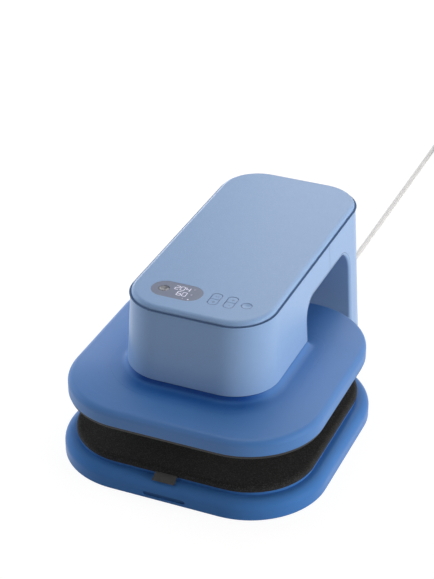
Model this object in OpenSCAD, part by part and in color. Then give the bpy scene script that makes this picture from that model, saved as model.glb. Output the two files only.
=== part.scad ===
// Automatic heat press. A low base carries a padded mat. An arched arm, hinged to the back of
// the base, holds a head over the mat, and a motor and lead screw in the head lower the heated
// platen onto the mat. Millimetres, with the origin on the table under the centre of the press,
// +X to the right, +Y to the back and +Z up.

/* [Base] */
// Width of the base
base_w = 426; // [412:1:440]
// Depth of the base without its tail
base_d = 428; // [414:1:442]
// Corner radius of the base in plan
base_corner = 124; // [112:1:130]
// Height of the base's top above the table
base_h = 32; // [29:1:38]
// Rounding of the base's top edge
base_edge = 16; // [10:1:18]
// Wall of the base shell
base_wall = 3; // [2.5:0.1:4]
// Gap between the table and the base shell's lower edge
ground_gap = 0.8; // [0.5:0.1:2.5]
// Height of the tail that carries the column
tail_h = 36; // [34:1:42]
// Rounding of the tail's top edge
tail_edge = 2.5; // [1:0.5:5]
// Width of the slot in the front wall
slot_w = 69; // [50:1:90]
// Height of the slot in the front wall
slot_h = 6.5; // [4:0.5:8]
// Height of the slot's lower edge above the table
slot_low = 5.4; // [4:0.1:7]
// Depth of the slot
slot_depth = 2; // [1:0.1:2.2]
// Thickness of the bottom plate
bottom_t = 2.5; // [2:0.1:3.5]
// Radius of a rubber foot
foot_r = 11; // [8:1:15]
// Thickness of a rubber foot
foot_h = 3; // [2.9:0.1:5]

/* [Mat] */
// Margin from the base's sides to the mat
mat_margin = 18.5; // [16:0.5:26]
// Margin from the base's front and back to the mat
mat_end_margin = 18; // [16:0.5:26]
// Thickness of the mat
mat_h = 14; // [11:1:18]
// Rounding of the mat's top edge
mat_edge = 6; // [3:0.5:8]
// Rise of the mat's middle over its edge
mat_crown = 0.6; // [0.3:0.1:1]
// Thickness of the tray's floor
tray_t = 3; // [2:0.5:4]
// Height of the tray's lip over its floor
tray_lip_h = 1.5; // [0.8:0.1:2.5]
// Width of the tray's lip
tray_lip = 1.6; // [1.2:0.1:2.5]
// How far the mat's upper part reaches over the tray
mat_over = 2.4; // [1.5:0.1:3]
// Rounding of the mat's lower edge
mat_under_edge = 2; // [1:0.1:3]
// Width of the mat's pull tag
tag_w = 36; // [24:1:50]
// How far the tag reaches in front of the tray
tag_reach = 12; // [8:1:16]
// Thickness of the tag
tag_t = 1.4; // [1:0.1:2]

/* [Platen] */
// Width of the platen's cover
platen_w = 410; // [400:1:420]
// Depth of the platen's cover
platen_d = 415; // [405:1:425]
// Corner radius of the cover in plan
platen_corner = 120; // [114:1:124]
// Gap between the mat and the heat plate with the press open
press_gap = 54.5; // [50:0.5:56]
// Height of the cover from its lower edge to its crown
cover_h = 36; // [33:1:38]
// Height of the cover's upright wall
cover_wall_h = 15; // [13:1:17]
// Rounding of the cover's top edge
cover_edge = 11; // [8:1:12]
// Thickness of the cover
cover_t = 3; // [2.5:0.1:3.5]
// Height of the collar that rises from the cover to the head
collar_rise = 7.4; // [6:0.1:9]
// Height of the black rim under the cover
rim_h = 6.5; // [5:0.5:8]
// How far the rim stands inside the cover's edge
rim_inset = 1.5; // [0.5:0.1:2]
// Width of the rim's ring
rim_ring = 12; // [9:1:12]
// Margin from the cover's edge to the heat plate
plate_margin = 15; // [14.5:0.5:24]
// Thickness of the heat plate
plate_t = 10; // [8:1:12]
// How far the heat plate stands below the rim
plate_proud = 1; // [0.5:0.1:2]
// Pitch of the heating element's runs
element_pitch = 48; // [44:1:50]
// Width of the heating element's bar
element_w = 8; // [6:1:10]
// Height of the heating element's bar
element_h = 5; // [4:0.5:6]
// Thickness of the insulation over the heat plate
insulation_t = 8; // [6:1:9]
// Thickness of the carriage plate
carriage_t = 5; // [4:0.5:6]
// Radius of a post between carriage and heat plate
standoff_r = 7; // [5:0.5:8]
// Distance of those posts from the middle line
standoff_x = 90; // [84:1:98]
// Wall of the sleeve that closes the head when the platen is down
sleeve_wall = 2.5; // [2:0.1:3]

/* [Head and arm] */
// Width of the arm at the lid
head_w = 231.5; // [226:0.5:238]
// Distance from the press centre to the front of the head at the lid
head_front = 122; // [118:1:126]
// Distance from the press centre to the back of the arm at the lid
head_rear = 350; // [345:1:356]
// Corner radius of the arm in plan at the lid
head_corner = 66; // [62:1:70]
// Height of the arch over the head's lower edge
arch_rise = 65; // [62:1:72]
// Draft of the arm's outer walls, in degrees
draft_angle = 3.3; // [2.6:0.1:3.6]
// Wall of the arm's shells
shell_wall = 3.5; // [2.8:0.1:4]
// Depth of the arm from the arch to the lid
arm_depth = 51; // [50:1:54]
// Distance from the press centre to the front of the arch
arch_front = 67; // [66:1:72]
// Depth of the column at the tail
column_depth = 102; // [96:0.2:106]
// Lean of the column's front, in degrees
arch_lean = 0; // [0:0.1:2]
// Radius of the arch's front corner
arch_front_r = 31; // [24:1:36]
// Radius of the arch's back corner
arch_rear_r = 43; // [38:1:50]
// Thickness of the arch's liner
liner_t = 5; // [4:0.5:6]
// Gap round the liner
liner_gap = 0.4; // [0.2:0.1:0.6]
// Where the two shells of the arm meet at the arm's middle height
seam_y = 171; // [160:1:185]
// Gap between the two shells
seam_gap = 0.5; // [0.3:0.1:1]
// Gap between the tail and the column
column_gap = 2; // [1.5:0.1:3]
// Gap between the collar and the head
head_gap = 0.6; // [0.5:0.1:1.5]
// Height of the lid
lid_h = 8; // [7.5:0.5:10]
// Rounding of the lid's top edge
lid_edge = 7; // [4:0.5:7]
// How far the lid stands inside the arm's edge
lid_inset = 1.6; // [1.2:0.1:2]
// Thickness of the lid
lid_t = 3; // [2.5:0.1:3.4]
// Depth of the shadow groove under the lid
lid_groove = 1.2; // [0.5:0.1:1.2]

/* [Controls] */
// Distance of the row of controls behind the head's front
control_setback = 56; // [54:1:64]
// Left of the display's centre from the middle line
display_x = 40.5; // [38:0.5:42]
// Width of the display window
display_w = 82; // [74:1:84]
// Depth of the display window
display_d = 44; // [38:1:46]
// Thickness of the display window
lens_t = 1.8; // [1.4:0.1:2]
// Width of the ledge that the window lies on
lens_ledge = 3; // [2:0.5:4]
// Radius of the round buttons
button_r = 7.8; // [7.5:0.1:9.5]
// Distance of the power button from the display's centre
power_offset = 21.2; // [18:0.1:23]
// Right of the first rocker from the middle line
rocker_x = 21; // [18:0.1:22]
// Distance from control to control on the right
control_pitch = 25.4; // [24.6:0.1:27]
// Width of a rocker
rocker_w = 15.4; // [15:0.1:17.6]
// Length of a rocker
rocker_l = 32.4; // [30:0.2:36]
// Corner radius of a rocker
rocker_corner = 6.5; // [3:0.5:7]
// Gap round a button or a rocker
key_gap = 0.55; // [0.4:0.05:0.6]
// Travel of a round button
button_travel = 1.2; // [0.8:0.1:1.4]

/* [Drive] */
// Radius of the lead screw
screw_r = 9; // [8.5:0.5:10]
// Radius of the screw's journal
journal_r = 8; // [6:0.5:8]
// Module of the gears
gear_module = 1.5; // [1.4:0.05:1.6]
// Teeth of the gear on the screw
gear_teeth = 40; // [40:4:44]
// Teeth of the motor's pinion
pinion_teeth = 16; // [16:2:18]
// Width of the gears
gear_width = 10; // [8:1:11]
// Radius of the motor
motor_r = 21; // [18:1:22]
// Length of the motor
motor_h = 30; // [26:1:31]
// Radius of the motor's shaft
shaft_r = 4; // [3:0.5:5]
// Radius of a guide post
post_r = 8; // [6:0.5:9]
// Distance of the guide posts from the middle line
post_x = 66; // [64:1:69]
// Distance from post to post along the arm
post_pitch = 120; // [112:1:124]
// Wall of the guide bushes and of the nut
bush_wall = 4; // [3:0.5:5]
// Radial clearance of a running fit
running = 0.05; // [0.03:0.01:0.08]

/* [Frame and hinge] */
// Thickness of the arm's steel frame
frame_t = 4; // [3:0.5:5]
// Margin between the arm's side at the lid and its steel frame
frame_margin = 31.75; // [29:0.25:38]
// Gap between the lid's seat and the frame's side flanges
flange_drop = 14; // [12:1:18]
// Radius of the hinge pin
pin_r = 5; // [4:0.5:6]
// Outer radius of the hinge's barrel
barrel_r = 11; // [10:0.5:12]
// Length of the arm's knuckle
arm_knuckle = 72; // [60:1:80]
// Length of each of the base's knuckles
base_knuckle = 34; // [26:1:38]
// Gap between knuckles
knuckle_gap = 1; // [0.5:0.1:2]
// Thickness of a rail in the base
rail_t = 6; // [5:0.5:8]
// Distance of the rails from the middle line
rail_x = 70; // [68:1:74]
// Radius of the lock bolt
bolt_r = 5; // [4:0.5:5.5]
// Travel of the lock bolt
bolt_travel = 24; // [22:1:26]

/* [Cord] */
// Diameter of the mains cord
cord_d = 9; // [8:0.5:9]
// Radius of the coil's outer turn
coil_r = 58; // [54:1:64]
// Turns of each of the coil's two layers
coil_turns = 1.5; // [1.5:1:2.5]
// Gap between turns that lie side by side or on each other
coil_gap = 0.7; // [0.5:0.1:1.2]
// Radius of the plug's body
plug_r = 18.5; // [17:0.5:20]

/* [Hidden] */
$fn = 96;

// Colours as they look in daylight
deep_blue = [0.27, 0.40, 0.58];
pale_blue = [0.60, 0.69, 0.81];
soft_black = [0.09, 0.09, 0.10];
smoked_grey = [0.42, 0.45, 0.52];
steel_grey = [0.62, 0.64, 0.66];
board_green = [0.10, 0.35, 0.20];
cord_grey = [0.86, 0.86, 0.87];
brass_yellow = [0.72, 0.58, 0.30];

// Heights, stacked from the table up
mat_w = base_w - 2 * mat_margin;
mat_d = base_d - 2 * mat_end_margin;
mat_corner = base_corner - mat_end_margin;
plate_w = platen_w - 2 * plate_margin;
plate_d = platen_d - 2 * plate_margin;
plate_corner = platen_corner - plate_margin;
head_h = arch_rise + arm_depth;
frame_w = head_w - 2 * frame_margin;
control_row = head_front - control_setback;
power_x = display_x + power_offset;
mat_floor = base_h + tray_t;
mat_top = mat_floor + mat_h;
plate_low = mat_top + press_gap;
plate_high = plate_low + plate_t;
insulation_low = plate_high + element_h;
insulation_high = insulation_low + insulation_t;
rim_low = plate_low + plate_proud;
cover_low = rim_low + rim_h;
crown = cover_low + cover_h;
collar_top = crown + collar_rise;
collar_r = collar_rise + 2;
head_low = collar_top + head_gap;
head_top = head_low + head_h;
lid_top = head_top + lid_h;
arch_top = head_top - arm_depth;
column_low = tail_h + column_gap;
bottom_low = foot_h;
bottom_high = bottom_low + bottom_t;

// The arm's outer walls lean out below the lid
draft = tan(draft_angle);
function flare(z) = (head_top - z) * draft;
head_half = head_w / 2;
head_depth = head_front + head_rear;
head_middle = (head_rear - head_front) / 2;
column_half = head_half + flare(column_low);
column_rear = head_rear + flare(column_low);
column_corner = head_corner + flare(column_low);
tail_front = base_d / 2 - base_corner;
tail_depth = column_rear - tail_front;
tail_middle = (column_rear + tail_front) / 2;

// The arch's outline on the middle plane
lean = tan(arch_lean);
arch_back = column_rear - column_depth;
function column_front(z) = arch_back - (z - column_low) * lean;
arch_front_c = [arch_front + arch_front_r, arch_top - arch_front_r];
arch_rear_z = arch_top - arch_rear_r;
arch_rear_c = [column_front(arch_rear_z) - arch_rear_r / cos(arch_lean), arch_rear_z];

// Hinge
hinge_y = column_rear - 1.4;
hinge_z = column_low;
notch_r = barrel_r + 2;
knuckle_start = arm_knuckle / 2 + knuckle_gap;
knuckle_end = knuckle_start + base_knuckle;
notch_half = knuckle_end + 2;
leaf_t = 4;
base_leaf_reach = 38;
frame_back = head_rear - 20;
arm_leaf_reach = hinge_y - frame_back - frame_t - 1;
base_leaf_low = tail_h - base_wall - leaf_t;
rail_high = min(base_h - base_wall, base_leaf_low);
foot_plate_low = column_low + 1.5;
foot_plate_high = foot_plate_low + frame_t;

// Lock between the base and the arm's lug
lug_half = 4;
lug_w = 16;
lug_low = 12;
lug_y = hinge_y - 54;
bolt_z = lug_low + 12;
lug_slot_front = hinge_y - norm([hinge_y - lug_y + lug_w / 2, hinge_z - lug_low]) - 2;
lug_slot_rear = lug_y + lug_w / 2 + 5;
lock_block_x = 14;

// Drive
frame_low = arch_top + liner_t;
frame_high = frame_low + frame_t;
flange_top = head_top - flange_drop;
bearing_h = 9;
cap_bearing_h = 6;
bearing_r = journal_r + 8;
gear_high = frame_low - bearing_h - 0.5;
gear_low = gear_high - gear_width;
gear_distance = gear_module * (gear_teeth + pinion_teeth) / 2 + 0.15;
post_y = [-post_pitch * 0.7, post_pitch * 0.3];
moving_low = insulation_high + 1.5;
dome_x = platen_corner - cover_edge;
dome_rise = cover_h - cover_wall_h;
dome_r = (dome_x * dome_x + dome_rise * dome_rise - cover_edge * cover_edge) / (2 * (dome_rise - cover_edge));
function dome_z(x, y) =
    let (away = norm([max(0, abs(x) - platen_w / 2 + platen_corner), max(0, abs(y) - platen_d / 2 + platen_corner)]))
    crown - dome_r + sqrt(dome_r * dome_r - away * away);
press_travel = press_gap - 0.5;
sleeve_high = head_low + press_travel + 5;
bush_high = frame_low - 20;
nut_high = gear_low - 5.5;
board_high = head_top - 7.4;
board_t = 1.6;
standoff_y = [-1.5 * element_pitch, 0.5 * element_pitch];

// The sleeve's outline follows the inside of the head at the sleeve's top
sleeve_half = head_half + flare(sleeve_high) - shell_wall - 1.5;
sleeve_front = -(head_front + flare(sleeve_high) - shell_wall - 1.5);
sleeve_rear = arch_front - liner_t - 1.5;
sleeve_front_r = head_corner - 3;
sleeve_rear_r = 8;
sleeve_gap = 0.4;

// The carriage lies close under the dome, a margin wider than the sleeve
carriage_margin = 8;
carriage_half = sleeve_half + carriage_margin;
carriage_front = sleeve_front - carriage_margin;
carriage_corner = [carriage_half - 0.3 * sleeve_front_r, carriage_front + 0.3 * sleeve_front_r];
carriage_high = min(dome_z(carriage_half, 0), dome_z(0, carriage_front),
                    dome_z(carriage_corner.x, carriage_corner.y)) - cover_t - 0.6;
carriage_low = carriage_high - carriage_t;

// Lid and controls
lid_w = head_w - 2 * lid_inset;
lid_d = head_depth - 2 * lid_inset;
lid_corner = head_corner - lid_inset;
lid_under = lid_top - lid_t;
lens_low = lid_top - lens_t - 0.1;
key_low = lid_under - 3.2;
key_high = lid_top - 0.2;
pivot_z = lid_under - 1.7;
pivot_r = 1.5;
ear_t = 3;
rocker_tilt = 3;
switch_high = key_low - button_travel - 0.4;
start_x = rocker_x + 2 * control_pitch;

// Cord's route on the table: out of the gland, down and straight back to the coil
cord_x = 23.5;
gland_z = 14;
gland_end = column_rear + 36;
coil_y = 1115;
cord_lie = cord_d / 2 + 0.1;
coil_lie = cord_lie + 1;
cord_route = [
    [cord_x, gland_end, gland_z], [cord_x, 420, 14], [cord_x, 436, 13.2], [cord_x, 452, 11.4],
    [cord_x, 470, 8.8], [cord_x, 488, 6.4], [cord_x, 506, 5.1], [cord_x, 526, cord_lie],
    [cord_x, 580, cord_lie], [cord_x, 640, cord_lie], [cord_x, 700, cord_lie],
    [cord_x, 760, cord_lie], [cord_x, 820, cord_lie], [cord_x, 880, cord_lie],
    [cord_x, 940, cord_lie], [cord_x, 1000, cord_lie], [cord_x, 1060, cord_lie + 0.4],
    [cord_x, coil_y, coil_lie]
];
coil_pitch = cord_d + coil_gap;
coil_centre = [cord_x + coil_r, coil_y];
coil_steps = 24;
climb = 0.5;
coil_total = 2 * coil_turns + climb;
plug_face = coil_y - 58;

// A round stretch of an outline, as points on a circle
function arc(centre, r, from, to, steps = 8) =
    [for (i = [0:steps]) centre + r * [cos(from + (to - from) * i / steps),
                                       sin(from + (to - from) * i / steps)]];

// A rectangle with round corners of one radius in front and another at the back
module rounded_rect(half_w, front, rear, front_r, rear_r) {
    polygon([
        [half_w, front + front_r], [half_w, rear - rear_r], [half_w - rear_r, rear],
        [rear_r - half_w, rear], [-half_w, rear - rear_r], [-half_w, front + front_r],
        [front_r - half_w, front], [half_w - front_r, front]
    ]);
    for (side = [-1, 1]) {
        translate([side * (half_w - front_r), front + front_r]) circle(front_r);
        translate([side * (half_w - rear_r), rear - rear_r]) circle(rear_r);
    }
}

// A slab with a rounded-rectangle plan
module slab(half_w, front, rear, front_r, rear_r, low, high) {
    translate([0, 0, low])
        linear_extrude(high - low) rounded_rect(half_w, front, rear, front_r, rear_r);
}

// A quarter of a disc, the round of an outer edge
module quarter(centre, r) {
    intersection() {
        translate(centre) circle(r);
        translate(centre) square(2 * r);
    }
}

// A wall profile carried round a rounded rectangle: turned corners and straight sides.
// The profile's x runs from the corner's centre outwards.
module carried_round(w, d, r) {
    half_w = w / 2 - r;
    half_d = d / 2 - r;
    for (turn = [0:3]) {
        x_side = turn == 0 || turn == 3 ? 1 : -1;
        y_side = turn < 2 ? 1 : -1;
        translate([x_side * half_w, y_side * half_d, 0])
            rotate([0, 0, 90 * turn]) rotate_extrude(angle = 90) children();
    }
    for (turn = [0, 1]) mirror([turn, 0, 0])
        translate([half_w, half_d, 0])
            rotate([90, 0, 0]) linear_extrude(2 * half_d) children();
    for (turn = [0, 1]) mirror([0, turn, 0])
        translate([-half_w, half_d, 0])
            rotate([90, 0, 90]) linear_extrude(2 * half_w) children();
}

// The same with its middle filled between two heights
module filled_round(w, d, r, low, high) {
    carried_round(w, d, r) children();
    translate([r - w / 2, r - d / 2, low]) cube([w - 2 * r, d - 2 * r, high - low]);
}

// Copies to the left and right of the middle plane
module both_sides() {
    children();
    mirror([1, 0, 0]) children();
}

// A cylinder that lies along X, between two places
module rod_x(r, from, to, y, z) {
    translate([from, y, z]) rotate([0, 90, 0]) cylinder(r = r, h = to - from);
}

// A profile turned about an axis that lies along Y; the profile's y is the distance along it
module turned_y(x, y, z) {
    translate([x, y, z]) rotate([-90, 0, 0]) rotate_extrude() children();
}

// A wall from one height to another with a round upper edge; x runs out to the wall
module edge_profile(wall, edge, low, high) {
    polygon([[0, low], [wall, low], [wall, high - edge], [wall - edge, high], [0, high]]);
    quarter([wall - edge, high - edge], edge);
}

// The solid inside the base's outline, drawn in by a wall
module base_profile(inset, low) {
    edge_profile(base_corner - inset, base_edge - inset, low, base_h - inset);
}

module base_body(low) {
    filled_round(base_w, base_d, base_corner, low, base_h) base_profile(0, low);
    translate([0, tail_middle, 0]) filled_round(2 * column_half, tail_depth, column_corner, low, tail_h)
        edge_profile(column_corner, tail_edge, low, tail_h);
}

module base_hollow(low) {
    filled_round(base_w, base_d, base_corner, low, base_h - base_wall) base_profile(base_wall, low);
    slab(column_half - base_wall, mat_d / 2 + mat_clear + base_wall, column_rear - base_wall,
         2, column_corner - base_wall, low, tail_h - base_wall);
    slab(column_half - base_wall, mat_d / 2 + mat_clear - base_edge, column_rear - base_wall,
         2, column_corner - base_wall, low, base_h - base_wall);
}

module hinge_notch() {
    rod_x(notch_r, -notch_half, notch_half, hinge_y, hinge_z);
    translate([-notch_half, hinge_y, hinge_z - notch_r])
        cube([2 * notch_half, 2 * notch_r, 2 * notch_r]);
}

// A shallow slot with round ends, seen from the front
module slot_outline() {
    r = slot_h / 2;
    square([slot_w - slot_h, slot_h], center = true);
    for (side = [-1, 1]) translate([side * (slot_w / 2 - r), 0]) circle(r);
}

module base_shell() {
    color(deep_blue) difference() {
        base_body(ground_gap);
        base_hollow(ground_gap - 1);
        slab(mat_w / 2 + mat_clear, -mat_d / 2 - mat_clear, mat_d / 2 + mat_clear,
             mat_corner + mat_clear, mat_corner + mat_clear, base_h, tail_h + 1);
        translate([0, slot_depth - base_d / 2, slot_low + slot_h / 2])
            rotate([90, 0, 0]) linear_extrude(slot_depth + 1) slot_outline();
        hinge_notch();
        translate([-lug_half - 3, lug_slot_front, tail_h - base_wall - 1])
            cube([2 * lug_half + 6, lug_slot_rear - lug_slot_front, base_wall + 2]);
        translate([cord_x, column_rear + 1, gland_z])
            rotate([90, 0, 0]) cylinder(r = 7.1, h = base_wall + 2);
    }
}

module base_bottom_plate() {
    inset = base_wall + 0.4;
    color(soft_black) difference() {
        union() {
            slab(base_w / 2 - inset, inset - base_d / 2, base_d / 2 - inset,
                 base_corner - inset, base_corner - inset, bottom_low, bottom_high);
            slab(column_half - inset, tail_front, column_rear - inset,
                 column_corner - inset, column_corner - inset, bottom_low, bottom_high);
        }
        for (place = screw_places)
            translate([place.x, place.y, bottom_low - 1]) cylinder(r = screw_hole_r, h = bottom_t + 2);
    }
}

// Rails in the base, with cross bars, and the screws that hold the bottom plate to them
rail_margin = 64;
rail_front = rail_margin - base_d / 2;
rail_rear = hinge_y - 24;
bar_margin = 10;
bar_pitch = (base_d - 2 * rail_margin + bar_margin) / 3;
bar_places = [for (i = [0:3]) rail_front + bar_margin + i * bar_pitch];
screw_hole_r = 2.6;
screw_margin = 20;
screw_pitch = (rail_rear - rail_front - 2 * screw_margin) / 3;
screw_places = [for (side = [-1, 1], i = [0:3]) [side * rail_x, rail_front + screw_margin + i * screw_pitch]];

module base_screws() {
    color(steel_grey) for (place = screw_places)
        translate([place.x, place.y, bottom_low - 1]) difference() {
            union() {
                cylinder(r = 4.5, h = 1);
                cylinder(r = screw_hole_r - 0.2, h = bottom_t + 1);
            }
            cube([5, 1.1, 1.4], center = true);
            cube([1.1, 5, 1.4], center = true);
        }
}

// Two long rails and their cross bars carry the mat, the hinge and the feet

module base_frame() {
    color(steel_grey) {
        both_sides() translate([rail_x - rail_t / 2, rail_front, bottom_high])
            cube([rail_t, rail_rear - rail_front, rail_high - bottom_high]);
        for (y = bar_places) translate([-rail_x, y, bottom_high])
            cube([2 * rail_x, rail_t, rail_high - bottom_high]);
    }
}

foot_margin = 63;
tail_foot_x = 96;
tail_foot_setback = 46;
foot_places = concat(
    [[0, 0]],
    [for (x = [-1, 1], y = [-1, 1]) [x * (base_w / 2 - foot_margin), y * (base_d / 2 - foot_margin)]],
    [for (x = [-1, 1]) [x * tail_foot_x, hinge_y - tail_foot_setback]]
);

module rubber_feet() {
    color(soft_black) for (place = foot_places)
        translate([place.x, place.y, 0]) {
            cylinder(r1 = foot_r - 1, r2 = foot_r, h = 1);
            translate([0, 0, 1]) cylinder(r = foot_r, h = foot_h - 1);
        }
}

// The tray is screwed to the base and holds the mat's foot in a low lip under the mat's edge
tray_gap = 0.4;
mat_clear = 2.4;
tray_half = mat_w / 2 - mat_over;
tray_half_d = mat_d / 2 - mat_over;
tray_corner = mat_corner - mat_over;
mat_foot_inset = mat_over + tray_lip + tray_gap;
mat_under = mat_floor + tray_lip_h + tray_gap;

module mat_tray() {
    color(deep_blue) difference() {
        slab(tray_half, -tray_half_d, tray_half_d, tray_corner, tray_corner,
             base_h, mat_floor + tray_lip_h);
        slab(tray_half - tray_lip, tray_lip - tray_half_d, tray_half_d - tray_lip,
             tray_corner - tray_lip, tray_corner - tray_lip, mat_floor, mat_top);
    }
}

// A firm pad with round edges and a slight crown, whose smaller foot sits in the tray
module press_mat() {
    edge_top = mat_top - mat_crown;
    edge_c = [mat_corner - mat_edge, edge_top - mat_edge];
    under_c = [mat_corner - mat_under_edge, mat_under + mat_under_edge];
    foot = mat_corner - mat_foot_inset;
    color(soft_black) filled_round(mat_w, mat_d, mat_corner, mat_floor, mat_top) {
        polygon([
            [0, mat_floor], [foot, mat_floor], [foot, mat_under],
            [under_c.x, mat_under], [mat_corner, under_c.y],
            [mat_corner, edge_c.y], [edge_c.x, edge_top],
            [mat_corner / 2, mat_top - mat_crown / 4], [0, mat_top]
        ]);
        quarter(edge_c, mat_edge);
        translate([0, 2 * under_c.y]) mirror([0, 1]) quarter(under_c, mat_under_edge);
    }
}

// Height of the base's top over its rounded front edge
function base_front_z(y) =
    let (past = max(0, -y - base_d / 2 + base_edge))
    base_h - base_edge + sqrt(base_edge * base_edge - past * past);

// A stiff cloth tag, sewn to the mat's edge, that leans over the base
tag_lift = 6;
tag_fold = 2;
tag_x = -2;

module mat_tag() {
    root_y = -mat_d / 2;
    lip_y = root_y - tag_fold;
    root_z = mat_under + mat_under_edge + 0.1;
    tip_z = base_front_z(lip_y - tag_reach) + tag_lift;
    color(soft_black) translate([tag_x - tag_w / 2, 0, 0]) rotate([90, 0, 90]) linear_extrude(tag_w)
        polygon([
            [root_y, root_z], [lip_y - 0.5, root_z - 0.4], [lip_y - tag_reach, tip_z],
            [lip_y - tag_reach, tip_z + tag_t], [lip_y - 0.8, root_z + tag_t - 0.2],
            [root_y, root_z + tag_t]
        ]);
}

// One leaf of the hinge: a barrel along X and the plate that joins it to its frame
module hinge_leaf(from, to, plate_z, reach) {
    difference() {
        union() {
            rod_x(barrel_r, from, to, hinge_y, hinge_z);
            translate([from, hinge_y - reach, plate_z]) cube([to - from, reach, leaf_t]);
        }
        rod_x(pin_r + running, from - 1, to + 1, hinge_y, hinge_z);
    }
}

module hinge_base_leaf() {
    color(steel_grey) both_sides() hinge_leaf(knuckle_start, knuckle_end, base_leaf_low, base_leaf_reach);
}

module hinge_arm_leaf() {
    color(steel_grey) difference() {
        hinge_leaf(-arm_knuckle / 2, arm_knuckle / 2, foot_plate_high, arm_leaf_reach);
        rod_x(cartridge_r, -cartridge_half, cartridge_half, hinge_y, hinge_z);
    }
}

module hinge_pin() {
    color(steel_grey) {
        rod_x(pin_r, -knuckle_end, knuckle_end, hinge_y, hinge_z);
        both_sides() rod_x(pin_r + 2, knuckle_end, knuckle_end + 1.5, hinge_y, hinge_z);
    }
}

// A spring cartridge in the arm's knuckle lifts the arm
cartridge_r = barrel_r - 2;
cartridge_half = arm_knuckle / 2 - 6;

module torsion_cartridge() {
    color(brass_yellow) difference() {
        rod_x(cartridge_r - 0.02, 0.1 - cartridge_half, cartridge_half - 0.1, hinge_y, hinge_z);
        rod_x(pin_r + running, -cartridge_half, cartridge_half, hinge_y, hinge_z);
    }
}

// Mains supply on the base's floor between the rails
power_board_l = 62;
power_board_y = lug_slot_front - 7 - power_board_l;

module power_board() {
    half = rail_x - rail_t / 2 - 8;
    color(board_green) {
        for (side = [-1, 1], y = [6, 56]) translate([side * (half - 6), power_board_y + y, bottom_high])
            cylinder(r = 3, h = 4);
        translate([-half, power_board_y, bottom_high + 4]) cube([2 * half, power_board_l, board_t]);
        translate([-half + 8, power_board_y + 12, bottom_high + 4]) cube([26, 32, 18]);
        translate([6, power_board_y + 16, bottom_high + 4]) cylinder(r = 8, h = 18);
        translate([26, power_board_y + 16, bottom_high + 4]) cylinder(r = 8, h = 18);
        translate([half - 24, power_board_y + 34, bottom_high + 4]) cube([20, 22, 12]);
    }
}

// A solenoid slides the bolt through the arm's lug into a block on the other side
module lock_actuator() {
    top = tail_h - base_wall - 1;
    color(soft_black) difference() {
        union() {
            translate([-rail_x + rail_t, lug_y - 12, bottom_high])
                cube([rail_x - rail_t - lock_block_x, 24, top - bottom_high]);
            translate([lock_block_x, lug_y - 12, bottom_high]) cube([14, 24, top - bottom_high]);
        }
        rod_x(bolt_r + running, -rail_x, lock_block_x + 20, lug_y, bolt_z);
    }
}

module lock_bolt() {
    color(steel_grey) rod_x(bolt_r, -rail_x + rail_t + 2, -lug_half - 2, lug_y, bolt_z);
}

// A flanged strain relief in the back wall of the tail
module cord_gland() {
    reach = gland_end - column_rear;
    color(cord_grey) turned_y(cord_x, column_rear, gland_z) {
        polygon([
            [0, -base_wall - 2.4], [8.2, -base_wall - 2.4], [8.2, -base_wall - 0.1], [7, -base_wall - 0.1],
            [7, 0.1], [9.5, 0.1], [9.5, 1.6], [8, 3.1], [7.6, 3.2],
            [cord_d / 2 + 1.2, reach - 1], [cord_d / 2 + 0.4, reach], [0, reach]
        ]);
        quarter([8, 1.6], 1.5);
    }
}

// A tube of flat faces along a route: rings square to the route, joined by triangles
function route_direction(route, i) =
    let (ahead = route[min(i + 1, len(route) - 1)], behind = route[max(i - 1, 0)])
    (ahead - behind) / norm(ahead - behind);
function route_ring(route, i, r, sides) =
    let (
        along = route_direction(route, i),
        across = cross([0, 0, 1], along) / norm(cross([0, 0, 1], along)),
        up = cross(along, across)
    )
    [for (k = [0:sides - 1]) route[i] + r * (cos(360 * (k + 0.5) / sides) * across
                                             + sin(360 * (k + 0.5) / sides) * up)];
module tube(route, r, sides) {
    last = len(route) - 1;
    points = [for (i = [0:last]) each route_ring(route, i, r, sides)];
    walls = [for (i = [0:last - 1], k = [0:sides - 1])
        let (n = (k + 1) % sides, a = i * sides, b = a + sides)
        each [[a + k, b + k, b + n], [a + k, b + n, a + n]]];
    start = [for (k = [1:sides - 2]) [0, k, k + 1]];
    end = [for (k = [1:sides - 2]) [last * sides, last * sides + k + 1, last * sides + k]];
    polyhedron(points, concat(walls, start, end));
}

module cord_run() {
    color(cord_grey) tube(cord_route, cord_d / 2, 10);
}

// The coil winds in on the table, climbs half a turn and winds out again on top
function coil_point(t) =
    let (
        middle = coil_turns + climb / 2,
        r = coil_r - coil_pitch * (middle - abs(t - middle)),
        rise = min(1, max(0, (t - coil_turns) / climb)),
        z = coil_lie + coil_pitch * rise * rise * (3 - 2 * rise),
        a = 180 - 360 * t
    )
    [coil_centre.x + r * cos(a), coil_centre.y + r * sin(a), z];
coil_last = coil_point(coil_total);
coil_lead = cord_d;
coil_route = concat(
    [for (i = [0:coil_total * coil_steps]) coil_point(i / coil_steps)],
    [[coil_last.x, coil_last.y - 2 * coil_lead, coil_last.z + 1],
     [coil_last.x, coil_last.y - 4 * coil_lead, plug_r],
     [coil_last.x, plug_face, plug_r]]
);
coil_near = min([for (i = [0:len(coil_route) - 1], j = [i + coil_steps / 2:1:len(coil_route) - 1])
    norm(coil_route[i] - coil_route[j])]) - cord_d;
echo(least_gap_in_the_coil = coil_near);

module cord_coil() {
    color(cord_grey) tube(coil_route, cord_d / 2, 6);
}

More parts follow.
